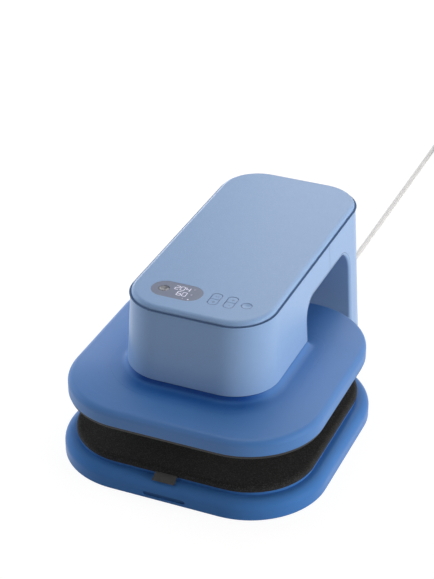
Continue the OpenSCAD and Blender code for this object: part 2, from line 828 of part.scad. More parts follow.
// A strap round the turns, on the side away from the press
module coil_tie() {
    band = 0.8;
    inner = coil_r - coil_pitch * (coil_turns + climb / 2) - cord_d / 2 - 0.6;
    outer = coil_r + cord_d / 2 + 0.6;
    low = coil_lie - cord_d / 2 - 0.1;
    high = coil_lie + coil_pitch + cord_d / 2 + 0.2;
    color(soft_black) translate([coil_centre.x - 5, coil_centre.y, 0]) difference() {
        rotate([90, 0, 90]) linear_extrude(10)
            polygon([[inner - band, low - band], [outer + band, low - band],
                     [outer + band, high + band], [inner - band, high + band]]);
        translate([-1, 0, 0]) rotate([90, 0, 90]) linear_extrude(12)
            polygon([[inner, low], [outer, low], [outer, high], [inner, high]]);
    }
}

// A round earthed plug that lies on the table beside the coil
plug_l = 40;
pin_pitch = 19;

module mains_plug() {
    color(cord_grey) translate([coil_last.x, plug_face, plug_r]) rotate([90, 0, 0])
        rotate_extrude() {
            polygon([
                [0, 0], [cord_d / 2 + 1.5, 0], [cord_d / 2 + 3, 14], [plug_r - 5, 19], [plug_r - 4, 19],
                [plug_r, 23], [plug_r, plug_l + 4], [plug_r - 1, plug_l + 5], [0, plug_l + 5]
            ]);
            translate([plug_r - 4, 23]) circle(4);
        }
}

module plug_pins() {
    color(steel_grey) for (side = [-1, 1])
        translate([coil_last.x + side * pin_pitch / 2, plug_face - plug_l - 5, plug_r])
            rotate([90, 0, 0]) {
                cylinder(r = 2.4, h = 17);
                translate([0, 0, 17]) cylinder(r1 = 2.4, r2 = 1.2, h = 2);
            }
}

// The solid inside the arm's leaning walls, drawn in by a wall
module arm_block(inset, low, high) {
    translate([0, head_middle, 0]) filled_round(head_w, head_depth, head_corner, low, high)
        polygon([
            [0, low], [head_corner + flare(low) - inset, low],
            [head_corner + flare(high) - inset, high], [0, high]
        ]);
}

// The tunnel under the arm, grown into the arm around it
module arch_tunnel(half, grow) {
    foot_z = column_low - 6;
    foot_y = column_front(foot_z) + grow / cos(arch_lean);
    across(half) polygon(concat(
        [[arch_front_c.x, head_low], [arch_front - grow, head_low]],
        arc(arch_front_c, arch_front_r + grow, 180, 90, 18),
        arc(arch_rear_c, arch_rear_r + grow, 90, arch_lean, 18),
        [[foot_y, foot_z], [arch_front_c.x, foot_z]]
    ));
}

// Pushes a side view through the whole width of the arm
module across(half) {
    translate([-half, 0, 0]) rotate([90, 0, 90]) linear_extrude(2 * half) children();
}

module arm_shell() {
    difference() {
        arm_block(0, column_low, head_top);
        arm_block(shell_wall, column_low - 1, head_top + 1);
        arch_tunnel(column_half + 20, liner_t + liner_gap);
        translate([-column_half - 20, -head_front - 60, 0])
            cube([2 * column_half + 40, head_front + 60 + arch_front + arch_front_r, head_low]);
        hinge_notch();
    }
}

// Blocks inside a shell that reach in to the frame's flanges
shell_lug_w = 16;
shell_lug_h = 14;
front_lug_y = -40;
lug_setback = 60;
module shell_lugs(places) {
    z = (frame_high + flange_top - shell_lug_h) / 2;
    intersection() {
        arm_block(shell_wall / 2, column_low, head_top);
        for (y = places) both_sides() translate([frame_w / 2, y, z])
            cube([column_half, shell_lug_w, shell_lug_h]);
    }
}

// Side view of everything in front of the seam between the two shells
module seam_side(gap) {
    top = head_top + 20;
    middle = head_top - arm_depth / 2;
    polygon([
        [-head_front - 60, 0], [seam_y + gap + middle * lean, 0],
        [seam_y + gap + (middle - top) * lean, top], [-head_front - 60, top]
    ]);
}

module head_shell_front() {
    color(pale_blue) {
        intersection() {
            arm_shell();
            across(column_half + 20) seam_side(0);
        }
        shell_lugs([front_lug_y, seam_y - lug_setback]);
    }
}

module arch_shell_rear() {
    color(pale_blue) {
        difference() {
            arm_shell();
            across(column_half + 30) seam_side(seam_gap);
        }
        shell_lugs([seam_y + lug_setback / 2 + 10, frame_back - lug_setback + 20]);
    }
}

// A band that lines the tunnel, flush with the arm's sides
module arch_liner() {
    color(pale_blue) intersection() {
        arm_block(0, column_low, head_top);
        difference() {
            arch_tunnel(column_half + 20, liner_t);
            arch_tunnel(column_half + 30, 0);
        }
    }
}

// The display's outline: a bar with round ends
module stadium(inset) {
    r = display_d / 2 - inset;
    translate([-display_x, -control_row]) {
        square([display_w - display_d, 2 * r], center = true);
        for (side = [-1, 1]) translate([side * (display_w - display_d) / 2, 0]) circle(r);
    }
}

module rocker_outline(grow) {
    translate([0, -control_row])
        rounded_rect(rocker_w / 2 + grow, -rocker_l / 2 - grow, rocker_l / 2 + grow,
                     rocker_corner + grow, rocker_corner + grow);
}

board_margin = 21.75;
board_w = head_w - 2 * board_margin;
board_d = 66;
board_post_inset = 9;
board_posts = [for (x = [-1, 1], y = [-1, 1])
    [x * (board_w / 2 - board_post_inset), y * (board_d / 2 - board_post_inset) - control_row]];

// The lid's wall: a thin shell with a round edge over a groove
module lid_profile() {
    difference() {
        edge_profile(lid_corner, lid_edge, head_top, lid_top);
        edge_profile(lid_corner - lid_t, lid_edge - lid_t, head_top - 1, lid_under);
        translate([lid_corner - lid_groove, head_top - 1]) square([lid_groove + 1, 2.2]);
    }
}

module top_lid() {
    color(pale_blue) difference() {
        union() {
            translate([0, head_middle, 0])
                filled_round(lid_w, lid_d, lid_corner, lid_under, lid_top) lid_profile();
            for (place = board_posts) translate([place.x, place.y, board_high])
                cylinder(r = 4, h = lid_under - board_high);
            for (x = [rocker_x, rocker_x + control_pitch], side = [-1, 1])
                translate([x + side * (rocker_w / 2 + key_gap + ear_t / 2), -control_row, lid_under - 2])
                    cube([ear_t, 7, 4], center = true);
        }
        translate([0, 0, lens_low]) linear_extrude(lid_t) stadium(0);
        translate([0, 0, lid_under - 1]) linear_extrude(lid_t + 2) stadium(lens_ledge);
        for (x = [rocker_x, rocker_x + control_pitch]) {
            translate([x, 0, lid_under - 1]) linear_extrude(lid_t + 2) rocker_outline(key_gap);
            rod_x(pivot_r + running, x - rocker_w / 2 - key_gap - ear_t - 1,
                  x + rocker_w / 2 + key_gap + ear_t + 1, -control_row, pivot_z);
        }
        translate([start_x, -control_row, lid_under - 1]) cylinder(r = button_r + key_gap, h = lid_t + 2);
    }
}

module display_lens() {
    color(smoked_grey) difference() {
        translate([0, 0, lens_low]) linear_extrude(lens_t) stadium(0.15);
        translate([-power_x, -control_row, lens_low - 1]) cylinder(r = button_r + key_gap, h = lens_t + 2);
    }
}

// The lit panel under the window stands on the control board
module display_module() {
    panel_w = 44;
    panel_d = display_d - 2 * lens_ledge - 6;
    left = -display_x + display_w / 2 - lens_ledge - 2 - panel_w;
    color(soft_black) translate([0, 0, board_high]) linear_extrude(lens_low - board_high)
        intersection() {
            translate([left, -control_row - panel_d / 2]) square([panel_w, panel_d]);
            stadium(lens_ledge + key_gap);
        }
}

module control_board() {
    color(board_green) translate([-board_w / 2, -control_row - board_d / 2, board_high - board_t])
        cube([board_w, board_d, board_t]);
}

// A push switch under each button and under both ends of each rocker
switch_places = concat(
    [[-power_x, 0], [start_x, 0]],
    [for (x = [rocker_x, rocker_x + control_pitch], end = [-1, 1]) [x, end * rocker_l * 0.38]]
);

module key_switches() {
    color(soft_black) for (place = switch_places)
        translate([place.x, place.y - control_row, board_high]) {
            translate([-3, -3, 0]) cube([6, 6, 4]);
            cylinder(r = 1.75, h = switch_high - board_high);
        }
}

// A round push button with a dished top and a flange that keeps it in
module round_button(x) {
    dish_depth = 0.8;
    dish_r = (pow(button_r - 1.5, 2) + pow(dish_depth, 2)) / (2 * dish_depth);
    translate([x, -control_row, 0]) difference() {
        union() {
            translate([0, 0, key_low]) cylinder(r = button_r, h = key_high - key_low);
            translate([0, 0, key_low]) cylinder(r = button_r + 1.3, h = lid_under - key_low - 0.5);
        }
        translate([0, 0, key_high - dish_depth + dish_r]) sphere(dish_r);
    }
}

module power_button() {
    color(smoked_grey) round_button(-power_x);
}

module start_button() {
    color(pale_blue) round_button(start_x);
}

// A rocker on a cross pin, with a line across its middle
module rocker(x) {
    translate([x, 0, 0]) {
        difference() {
            translate([0, 0, key_low]) linear_extrude(key_high - key_low) rocker_outline(0);
            translate([-rocker_w, -control_row - 0.5, key_high - 0.5]) cube([2 * rocker_w, 1, 2]);
        }
        rod_x(pivot_r, -rocker_w / 2 - key_gap - ear_t + 0.5, rocker_w / 2 + key_gap + ear_t - 0.5,
              -control_row, pivot_z);
    }
}

module temp_time_rocker() {
    color(pale_blue) rocker(rocker_x);
}

module plus_minus_rocker() {
    color(pale_blue) rocker(rocker_x + control_pitch);
}

// Folded steel: a channel along the arm, a back plate and flanges down the column, a foot plate
// over the tail, and the lug that the lock holds
module arm_frame() {
    half = frame_w / 2;
    front = -head_front + 17;
    back = frame_back;
    column_flange = column_front(column_low) + liner_t + 4;
    color(steel_grey) difference() {
        union() {
            translate([-half, front, frame_low]) cube([frame_w, back - front, frame_t]);
            both_sides() translate([half - frame_t, front, frame_high])
                cube([frame_t, back - front, flange_top - frame_high]);
            translate([-half, back, foot_plate_low])
                cube([frame_w, frame_t, flange_top - foot_plate_low]);
            both_sides() translate([half - frame_t, column_flange, foot_plate_low])
                cube([frame_t, back - column_flange + frame_t, frame_low - foot_plate_low + 1]);
            translate([-half, column_flange, foot_plate_low])
                cube([frame_w, hinge_y - 12 - column_flange, frame_t]);
            translate([-lug_half, lug_y - lug_w / 2, lug_low])
                cube([2 * lug_half, lug_w, foot_plate_high - lug_low]);
        }
        translate([0, 0, frame_low - 1]) cylinder(r = journal_r + 0.5, h = frame_t + 2);
        translate([0, gear_distance, frame_low - 1]) cylinder(r = shaft_r + 1, h = frame_t + 2);
        rod_x(bolt_r + 0.5, -lug_half - 1, lug_half + 1, lug_y, bolt_z);
    }
}

// A flat gear motor on the frame, its shaft down through the plate
module drive_motor() {
    color(steel_grey) translate([0, gear_distance, frame_high]) difference() {
        union() {
            cylinder(r = motor_r, h = motor_h);
            for (a = [0:60:300]) rotate([0, 0, a]) translate([motor_r - 3, 0, motor_h])
                cylinder(r = 1.5, h = 1);
        }
        translate([0, 0, -1]) cylinder(r = shaft_r + running, h = motor_h - 8);
    }
}

// A gear with involute teeth; the first tooth is centred on +X
backlash = 0.16;
pressure = 20;
function involute(base_r, angle) =
    base_r * [cos(angle) + angle * PI / 180 * sin(angle), sin(angle) - angle * PI / 180 * cos(angle)];
function turn2(p, a) = [p.x * cos(a) - p.y * sin(a), p.x * sin(a) + p.y * cos(a)];
module gear(teeth, bore) {
    pitch_r = gear_module * teeth / 2;
    base_r = pitch_r * cos(pressure);
    tip_r = pitch_r + 0.9 * gear_module;
    root_r = pitch_r - 1.2 * gear_module;
    tip_roll = sqrt(pow(tip_r / base_r, 2) - 1) * 180 / PI;
    pitch_roll = sqrt(pow(pitch_r / base_r, 2) - 1) * 180 / PI;
    flank_turn = pitch_roll - pressure + 90 / teeth - backlash / pitch_r * 90 / PI;
    steps = 4;
    flank = [for (i = [0:steps]) turn2(involute(base_r, tip_roll * i / steps), -flank_turn)];
    foot = root_r * [cos(flank_turn), -sin(flank_turn)];
    tooth = concat([foot], flank, [for (i = [steps:-1:0]) [flank[i].x, -flank[i].y]],
                   [[foot.x, -foot.y]]);
    difference() {
        linear_extrude(gear_width)
            polygon([for (n = [0:teeth - 1]) for (p = tooth) turn2(p, 360 * n / teeth)]);
        if (bore > 0) translate([0, 0, -1]) cylinder(r = bore, h = gear_width + 2);
    }
}

module motor_pinion() {
    color(brass_yellow) translate([0, gear_distance, gear_low]) {
        rotate([0, 0, 180 / pinion_teeth]) gear(pinion_teeth, 0);
        cylinder(r = shaft_r, h = frame_high + motor_h - 10 - gear_low);
    }
}

module screw_gear() {
    color(brass_yellow) translate([0, 0, gear_low]) gear(gear_teeth, journal_r + 0.02);
}

// Rings over and under the frame's plate take the screw's thrust
module thrust_bearing() {
    color(steel_grey) {
        difference() {
            translate([0, 0, frame_low - bearing_h]) cylinder(r = bearing_r, h = bearing_h);
            translate([0, 0, frame_low - bearing_h - 1]) cylinder(r = journal_r + running, h = bearing_h + 2);
        }
        difference() {
            translate([0, 0, frame_high]) cylinder(r = bearing_r, h = cap_bearing_h);
            translate([0, 0, frame_high - 1]) cylinder(r = journal_r + running, h = cap_bearing_h + 2);
        }
    }
}

module lead_screw() {
    head = frame_high + cap_bearing_h + 0.3;
    color(steel_grey) {
        translate([0, 0, moving_low]) cylinder(r = screw_r, h = gear_low - moving_low);
        translate([0, 0, moving_low]) cylinder(r = journal_r, h = head + 6 - moving_low);
        translate([0, 0, head]) cylinder(r = journal_r + 4, h = 6);
    }
}

module guide_posts() {
    color(steel_grey) for (side = [-1, 1], y = post_y)
        translate([side * post_x, y, moving_low]) cylinder(r = post_r, h = frame_low - moving_low);
}

// Posts under the cover stand on the heat plate between the element's runs
cover_post_r = 5;
cover_post_x = 150;
cover_posts = [for (x = [-1, 1], y = [-1, 1]) [x * cover_post_x, y * 2.5 * element_pitch]];

// The cover: an upright wall, a round edge and a low dome, with a collar that meets the head
// The cover's filled outline, drawn in by a wall: an upright side, a round edge and a wide dome
module cover_outline(inset, low) {
    r = cover_edge - inset;
    edge_c = [dome_x, cover_low + cover_wall_h];
    meet = atan2(dome_r - dome_rise, dome_x);
    polygon(concat(
        [[0, low], [platen_corner - inset, low], [platen_corner - inset, edge_c.y], edge_c],
        arc([0, crown - dome_r], dome_r - inset, meet, 90)
    ));
    intersection() {
        translate(edge_c) circle(r);
        polygon([edge_c, edge_c + [2 * r, 0], edge_c + [2 * r, 2 * r], edge_c + 2 * r * [cos(meet), sin(meet)]]);
    }
}

module platen_cover() {
    color(deep_blue) difference() {
        union() {
            filled_round(platen_w, platen_d, platen_corner, crown - cover_t, crown) difference() {
                cover_outline(0, cover_low);
                cover_outline(cover_t, cover_low - 1);
            }
            collar();
            for (place = cover_posts) translate([place.x, place.y, plate_high])
                cylinder(r = cover_post_r, h = dome_z(place.x, place.y) - cover_t / 2 - plate_high);
        }
        translate([0, 0, crown - 20]) linear_extrude(60)
            rounded_rect(sleeve_half + sleeve_gap, sleeve_front - sleeve_gap, sleeve_rear + sleeve_gap,
                         sleeve_front_r + sleeve_gap, sleeve_rear_r + sleeve_gap);
    }
}

// A hollow curve round the head's lower edge, carried round four corners of two radii
module collar() {
    half = head_half + flare(head_low);
    front = -head_front - flare(head_low);
    rear = arch_front;
    front_r = head_corner + flare(head_low);
    rear_r = 7;
    land = 5;
    under_z = crown - cover_t / 2;
    foot = collar_r * [1 + cos(258), sin(258)] + [0, collar_top];
    module shape(r) {
        difference() {
            polygon([
                [r - land, under_z], [r - land, collar_top], [r + foot.x, collar_top], [r + foot.x, foot.y],
                [r + collar_r - 3, under_z - 1.5]
            ]);
            translate([r + collar_r, collar_top]) circle(collar_r);
        }
    }
    for (side = [0, 1]) mirror([side, 0, 0]) {
        translate([half - front_r, front + front_r, 0])
            rotate([0, 0, -90]) rotate_extrude(angle = 90) shape(front_r);
        translate([half - rear_r, rear - rear_r, 0])
            rotate_extrude(angle = 90) shape(rear_r);
        translate([half - front_r, rear - rear_r, 0])
            rotate([90, 0, 0]) linear_extrude(rear - rear_r - front - front_r) shape(front_r);
    }
    translate([front_r - half, front + front_r, 0]) mirror([0, 1, 0])
        rotate([90, 0, 90]) linear_extrude(2 * (half - front_r)) shape(front_r);
    translate([rear_r - half, rear - rear_r, 0])
        rotate([90, 0, 90]) linear_extrude(2 * (half - rear_r)) shape(rear_r);
}

// A black ring under the cover's edge, round the heat plate
module platen_rim() {
    r = platen_corner - rim_inset;
    color(soft_black) carried_round(platen_w - 2 * rim_inset, platen_d - 2 * rim_inset, r) {
        polygon([
            [r - rim_ring, cover_low], [r - rim_ring, rim_low + 0.5], [r - rim_ring + 0.5, rim_low],
            [r - 3, rim_low], [r, rim_low + 3], [r, cover_low]
        ]);
        translate([r - 3, rim_low + 3]) circle(3);
    }
}

module heat_plate() {
    chamfer = 1.2;
    color(soft_black) filled_round(plate_w, plate_d, plate_corner, plate_low, plate_high)
        polygon([
            [0, plate_low], [plate_corner - chamfer, plate_low], [plate_corner, plate_low + chamfer],
            [plate_corner, plate_high], [0, plate_high]
        ]);
}

// A flat bar that runs to and fro over the heat plate
element_runs = 7;
element_reach = 138;

module heating_element() {
    first = -(element_runs - 1) / 2 * element_pitch;
    color(steel_grey) translate([0, 0, plate_high]) {
        for (i = [0:element_runs - 1])
            translate([-element_reach, first + i * element_pitch - element_w / 2, 0])
                cube([2 * element_reach, element_w, element_h]);
        for (i = [0:element_runs - 2]) {
            side = i % 2 == 0 ? 1 : -1;
            translate([side * element_reach, first + (i + 0.5) * element_pitch, 0])
                rotate([0, 0, -90 * side]) rotate_extrude(angle = 180)
                    translate([element_pitch / 2 - element_w / 2, 0]) square([element_w, element_h]);
        }
    }
}

sensor_place = [0, -element_pitch / 2];
sensor_r = 5;

module insulation_blanket() {
    margin = 4;
    color([0.85, 0.83, 0.76]) difference() {
        slab(plate_w / 2 - margin, margin - plate_d / 2, plate_d / 2 - margin,
             plate_corner - margin, plate_corner - margin, insulation_low, insulation_high);
        for (side = [-1, 1], y = standoff_y) translate([side * standoff_x, y, insulation_low - 1])
            cylinder(r = standoff_r + 0.4, h = insulation_t + 2);
        for (place = cover_posts) translate([place.x, place.y, insulation_low - 1])
            cylinder(r = cover_post_r + 0.4, h = insulation_t + 2);
        translate([sensor_place.x, sensor_place.y, insulation_low - 1])
            cylinder(r = sensor_r + 0.4, h = insulation_t + 2);
    }
}

module temperature_sensor() {
    color(brass_yellow) translate([sensor_place.x, sensor_place.y, plate_high]) {
        cylinder(r = sensor_r, h = element_h + 2);
        cylinder(r = 2, h = element_h + insulation_t - 0.5);
    }
}

module platen_standoffs() {
    color(steel_grey) for (side = [-1, 1], y = standoff_y)
        translate([side * standoff_x, y, plate_high])
            cylinder(r = standoff_r, h = carriage_low - plate_high);
}

// The plate that hangs on the nut and the guides and carries the whole platen
module platen_carriage() {
    color(steel_grey) difference() {
        slab(carriage_half, carriage_front, sleeve_rear + carriage_margin, sleeve_front_r,
             sleeve_rear_r + carriage_margin, carriage_low, carriage_high);
        translate([0, 0, carriage_low - 1]) cylinder(r = screw_r + 1, h = carriage_t + 2);
        for (side = [-1, 1], y = post_y) translate([side * post_x, y, carriage_low - 1])
            cylinder(r = post_r + 0.6, h = carriage_t + 2);
    }
}

// A tube on the carriage that fills the head's mouth as the platen goes down
module neck_sleeve() {
    color(deep_blue) difference() {
        slab(sleeve_half, sleeve_front, sleeve_rear, sleeve_front_r, sleeve_rear_r,
             carriage_high, sleeve_high);
        slab(sleeve_half - sleeve_wall, sleeve_front + sleeve_wall, sleeve_rear - sleeve_wall,
             sleeve_front_r - sleeve_wall, sleeve_rear_r - sleeve_wall,
             carriage_high - 1, sleeve_high + 1);
    }
}

module guide_bushes() {
    color(brass_yellow) for (side = [-1, 1], y = post_y)
        translate([side * post_x, y, carriage_high]) difference() {
            union() {
                cylinder(r = post_r + bush_wall, h = bush_high - carriage_high);
                cylinder(r = post_r + bush_wall + 5, h = 4);
            }
            translate([0, 0, -1]) cylinder(r = post_r + running, h = bush_high - carriage_high + 2);
        }
}

module lead_nut() {
    color(brass_yellow) translate([0, 0, carriage_high]) difference() {
        union() {
            cylinder(r = screw_r + bush_wall + 2, h = nut_high - carriage_high);
            cylinder(r = screw_r + bush_wall + 9, h = 5);
        }
        translate([0, 0, -1]) cylinder(r = screw_r + running, h = nut_high - carriage_high + 2);
    }
}

base_shell();
base_bottom_plate();
base_frame();
base_screws();
rubber_feet();
mat_tray();
press_mat();
mat_tag();
hinge_base_leaf();
hinge_pin();
power_board();
lock_actuator();
lock_bolt();
cord_gland();
cord_run();
cord_coil();
coil_tie();
mains_plug();
plug_pins();
head_shell_front();
arch_shell_rear();
arch_liner();
top_lid();
display_lens();
display_module();
control_board();
key_switches();
power_button();
temp_time_rocker();
plus_minus_rocker();
start_button();
arm_frame();
hinge_arm_leaf();
torsion_cartridge();
drive_motor();
motor_pinion();
thrust_bearing();
lead_screw();
screw_gear();
guide_posts();
platen_cover();
platen_rim();
heat_plate();
heating_element();
insulation_blanket();
temperature_sensor();
platen_standoffs();
platen_carriage();
neck_sleeve();
guide_bushes();
lead_nut();
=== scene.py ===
import math
import bpy
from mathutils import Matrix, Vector


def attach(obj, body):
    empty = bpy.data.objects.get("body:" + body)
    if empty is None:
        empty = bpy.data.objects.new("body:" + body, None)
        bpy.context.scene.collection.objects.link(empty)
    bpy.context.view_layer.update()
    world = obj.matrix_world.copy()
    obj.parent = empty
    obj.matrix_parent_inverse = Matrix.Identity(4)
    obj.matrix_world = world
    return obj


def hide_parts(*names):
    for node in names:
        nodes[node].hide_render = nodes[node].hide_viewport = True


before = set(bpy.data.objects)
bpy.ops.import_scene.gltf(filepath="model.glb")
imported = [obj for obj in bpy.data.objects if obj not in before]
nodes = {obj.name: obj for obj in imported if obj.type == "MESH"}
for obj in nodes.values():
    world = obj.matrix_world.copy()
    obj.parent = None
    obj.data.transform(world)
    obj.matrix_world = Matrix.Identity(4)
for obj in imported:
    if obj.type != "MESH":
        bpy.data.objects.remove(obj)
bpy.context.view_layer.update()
scene = bpy.context.scene


# Rubber feet: four black moulded feet pressed into the bottom plate.
# The rubber is matt, with a fine sandy grain and a little dust in it.
def shader_of(finish):
    return finish.node_tree.nodes["Principled BSDF"]


def new_finish(name, colour, roughness):
    finish = bpy.data.materials.new(name)
    finish.use_nodes = True
    shader = shader_of(finish)
    shader.inputs["Base Color"].default_value = (*colour, 1)
    shader.inputs["Roughness"].default_value = roughness
    return finish


def surface_noise(finish, per_metre, detail=3):
    tree = finish.node_tree
    place = tree.nodes.new("ShaderNodeTexCoord")
    noise = tree.nodes.new("ShaderNodeTexNoise")
    noise.inputs["Scale"].default_value = per_metre
    noise.inputs["Detail"].default_value = detail
    tree.links.new(place.outputs["Object"], noise.inputs["Vector"])
    return noise.outputs["Fac"]


def tint(finish, pattern, dark, light, low=0.3, high=0.7):
    tree = finish.node_tree
    ramp = tree.nodes.new("ShaderNodeValToRGB")
    ramp.color_ramp.elements[0].position = low
    ramp.color_ramp.elements[0].color = (*dark, 1)
    ramp.color_ramp.elements[1].position = high
    ramp.color_ramp.elements[1].color = (*light, 1)
    tree.links.new(pattern, ramp.inputs["Fac"])
    tree.links.new(ramp.outputs["Color"], shader_of(finish).inputs["Base Color"])


def polish(finish, pattern, smooth, rough):
    tree = finish.node_tree
    span = tree.nodes.new("ShaderNodeMapRange")
    span.inputs["From Min"].default_value = 0.25
    span.inputs["From Max"].default_value = 0.75
    span.inputs["To Min"].default_value = smooth
    span.inputs["To Max"].default_value = rough
    tree.links.new(pattern, span.inputs["Value"])
    tree.links.new(span.outputs["Result"], shader_of(finish).inputs["Roughness"])


def relief(finish, pattern, depth, edge=0):
    tree = finish.node_tree
    bump = tree.nodes.new("ShaderNodeBump")
    bump.inputs["Strength"].default_value = 1
    bump.inputs["Distance"].default_value = depth
    tree.links.new(pattern, bump.inputs["Height"])
    if edge:
        rounding = tree.nodes.new("ShaderNodeBevel")
        rounding.samples = 6
        rounding.inputs["Radius"].default_value = edge
        tree.links.new(rounding.outputs["Normal"], bump.inputs["Normal"])
    tree.links.new(bump.outputs["Normal"], shader_of(finish).inputs["Normal"])


def dress(finish, *names):
    for name in names:
        nodes[name].data.materials.clear()
        nodes[name].data.materials.append(finish)


rubber = new_finish("matt_rubber", (0.018, 0.018, 0.019), 0.85)
tint(rubber, surface_noise(rubber, 90), (0.014, 0.014, 0.015), (0.026, 0.026, 0.027))
relief(rubber, surface_noise(rubber, 2200), 0.00006)
dress(rubber, "rubber_feet")


# Bottom plate and its screws: a black moulded plate closes the base from below.
# Plated steel screws hold it, and two pressed steel rails stiffen the base inside.
def black_moulding(name, level):
    finish = new_finish(name, (level, level, level * 1.05), 0.55)
    tint(finish, surface_noise(finish, 60), (level * 0.85,) * 3, (level * 1.2,) * 3)
    polish(finish, surface_noise(finish, 35), 0.48, 0.62)
    relief(finish, surface_noise(finish, 2600), 0.00003, 0.0005)
    return finish


def bright_metal(name, colour, smooth, rough):
    finish = new_finish(name, colour, smooth)
    shader_of(finish).inputs["Metallic"].default_value = 1
    dark = tuple(part * 0.88 for part in colour)
    tint(finish, surface_noise(finish, 45), dark, colour)
    polish(finish, surface_noise(finish, 160), smooth, rough)
    relief(finish, surface_noise(finish, 1500), 0.00001, 0.0004)
    return finish


plate_black = black_moulding("plate_black", 0.02)
dress(plate_black, "base_bottom_plate")
plated_steel = bright_metal("plated_steel", (0.62, 0.62, 0.61), 0.28, 0.42)
dress(plated_steel, "base_screws", "base_frame")


# Base shell and mat tray: one deep blue moulding with a soft satin grain, a wide rounded edge
# and a low tail; the tray is a shallow lip of the same plastic inside it. A thin sheet of darker,
# rougher blue lies on the floor of the long slot in the front wall, as painted shade in the recess.
def satin_plastic(name, colour, smooth, rough, gloss):
    finish = new_finish(name, colour, smooth)
    shader_of(finish).inputs["Specular IOR Level"].default_value = gloss
    dark = tuple(part * 0.99 for part in colour)
    light = tuple(min(1, part * 1.01) for part in colour)
    tint(finish, surface_noise(finish, 60), dark, light)
    polish(finish, surface_noise(finish, 900), smooth, rough)
    relief(finish, surface_noise(finish, 2400), 0.00003, 0.0009)
    return finish


def new_piece(name, points, faces, finish):
    mesh = bpy.data.meshes.new(name)
    mesh.from_pydata(points, [], faces)
    mesh.update()
    mesh.shade_smooth()
    mesh.set_sharp_from_angle(angle=math.radians(40))
    mesh.materials.append(finish)
    piece = bpy.data.objects.new(name, mesh)
    scene.collection.objects.link(piece)
    return piece


deep_blue = (0.05, 0.172, 0.455)
base_plastic = satin_plastic("base_plastic", deep_blue, 0.28, 0.36, 0.1)
dress(base_plastic, "base_shell", "mat_tray")
slot_half, slot_round, slot_level, slot_floor, slot_skin = 0.03435, 0.0031, 0.00865, -0.212, 0.0003
slot_steps = 24
slot_points = []
for depth in (-slot_skin, 0):
    for step in range(slot_steps):
        angle = math.radians(360 * (step + 0.5) / slot_steps)
        side = slot_half - slot_round if math.cos(angle) > 0 else slot_round - slot_half
        slot_points.append((side + slot_round * math.cos(angle), slot_floor + depth,
                            slot_level + slot_round * math.sin(angle)))
slot_faces = [tuple(range(slot_steps)), tuple(reversed(range(slot_steps, 2 * slot_steps)))]
for spot in range(slot_steps):
    after = (spot + 1) % slot_steps
    slot_faces.append((spot, spot + slot_steps, after + slot_steps, after))
# Painted shade: the slot's floor sheet is a darker copy of the base blue.
slot_painted_shade = satin_plastic("slot_painted_shade", tuple(part * 0.62 for part in deep_blue), 0.5, 0.6, 0.1)
slot_piece = new_piece("front_slot_shade_sheet", slot_points, slot_faces, slot_painted_shade)
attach(slot_piece, "base")


# Parts inside the base: the mains board, the lock's solenoid and turned bolt, and the hinge with
# the cartridge that carries the arm. The hinge is burnished steel, dark because it shows at the back.
board_green = new_finish("board_green", (0.02, 0.13, 0.06), 0.35)
tint(board_green, surface_noise(board_green, 400), (0.012, 0.09, 0.04), (0.03, 0.17, 0.08))
relief(board_green, surface_noise(board_green, 900), 0.00004, 0.0003)
dress(board_green, "power_board")
housing_black = black_moulding("housing_black", 0.016)
dress(housing_black, "lock_actuator")
turned_steel = bright_metal("turned_steel", (0.58, 0.58, 0.57), 0.2, 0.32)
dress(turned_steel, "lock_bolt")
burnished_steel = bright_metal("burnished_steel", (0.20, 0.20, 0.21), 0.34, 0.46)
dress(burnished_steel, "hinge_base_leaf", "hinge_arm_leaf", "hinge_pin")
soft_brass = bright_metal("soft_brass", (0.78, 0.58, 0.25), 0.25, 0.4)
dress(soft_brass, "torsion_cartridge")


# Press mat: a firm heat-proof pad in black speckled cloth. The cloth is drawn round the edge of
# the core and glued under it, so the face is crowned and the rim is full and round. A smaller
# foot under it sits in the tray. The cloth is swollen by simulation over a slightly smaller core.
def rounded_loop(width, depth, corner, steps):
    loop = []
    for turn, (side_x, side_y) in enumerate(((1, 1), (-1, 1), (-1, -1), (1, -1))):
        middle_x = side_x * (width / 2 - corner)
        middle_y = side_y * (depth / 2 - corner)
        for step in range(steps + 1):
            angle = math.radians(90 * turn + 90 * step / steps)
            loop.append((middle_x + corner * math.cos(angle), middle_y + corner * math.sin(angle)))
    return loop


def ring_faces(rings, count):
    faces = []
    for ring in range(rings - 1):
        low, high = ring * count, (ring + 1) * count
        for spot in range(count):
            after = (spot + 1) % count
            faces.append((low + spot, low + after, high + after, high + spot))
    return faces


def swell_cloth(piece, held, most):
    last_frame = 20
    pins = piece.vertex_groups.new(name="held")
    pins.add(held, 1, "REPLACE")
    cloth = piece.modifiers.new("cloth", "CLOTH")
    cloth.settings.vertex_group_mass = "held"
    cloth.settings.use_pressure = True
    cloth.settings.uniform_pressure_force = 4
    cloth.settings.effector_weights.gravity = 0
    cloth.point_cache.frame_start = 1
    cloth.point_cache.frame_end = last_frame
    for moment in range(1, last_frame + 1):
        scene.frame_set(moment)
    swollen = piece.evaluated_get(bpy.context.evaluated_depsgraph_get())
    goals = [corner.co.copy() for corner in swollen.data.vertices]
    piece.modifiers.remove(cloth)
    scene.frame_set(1)
    for corner, goal in zip(piece.data.vertices, goals):
        step = goal - corner.co
        if step.length > most:
            step *= most / step.length
        corner.co += step


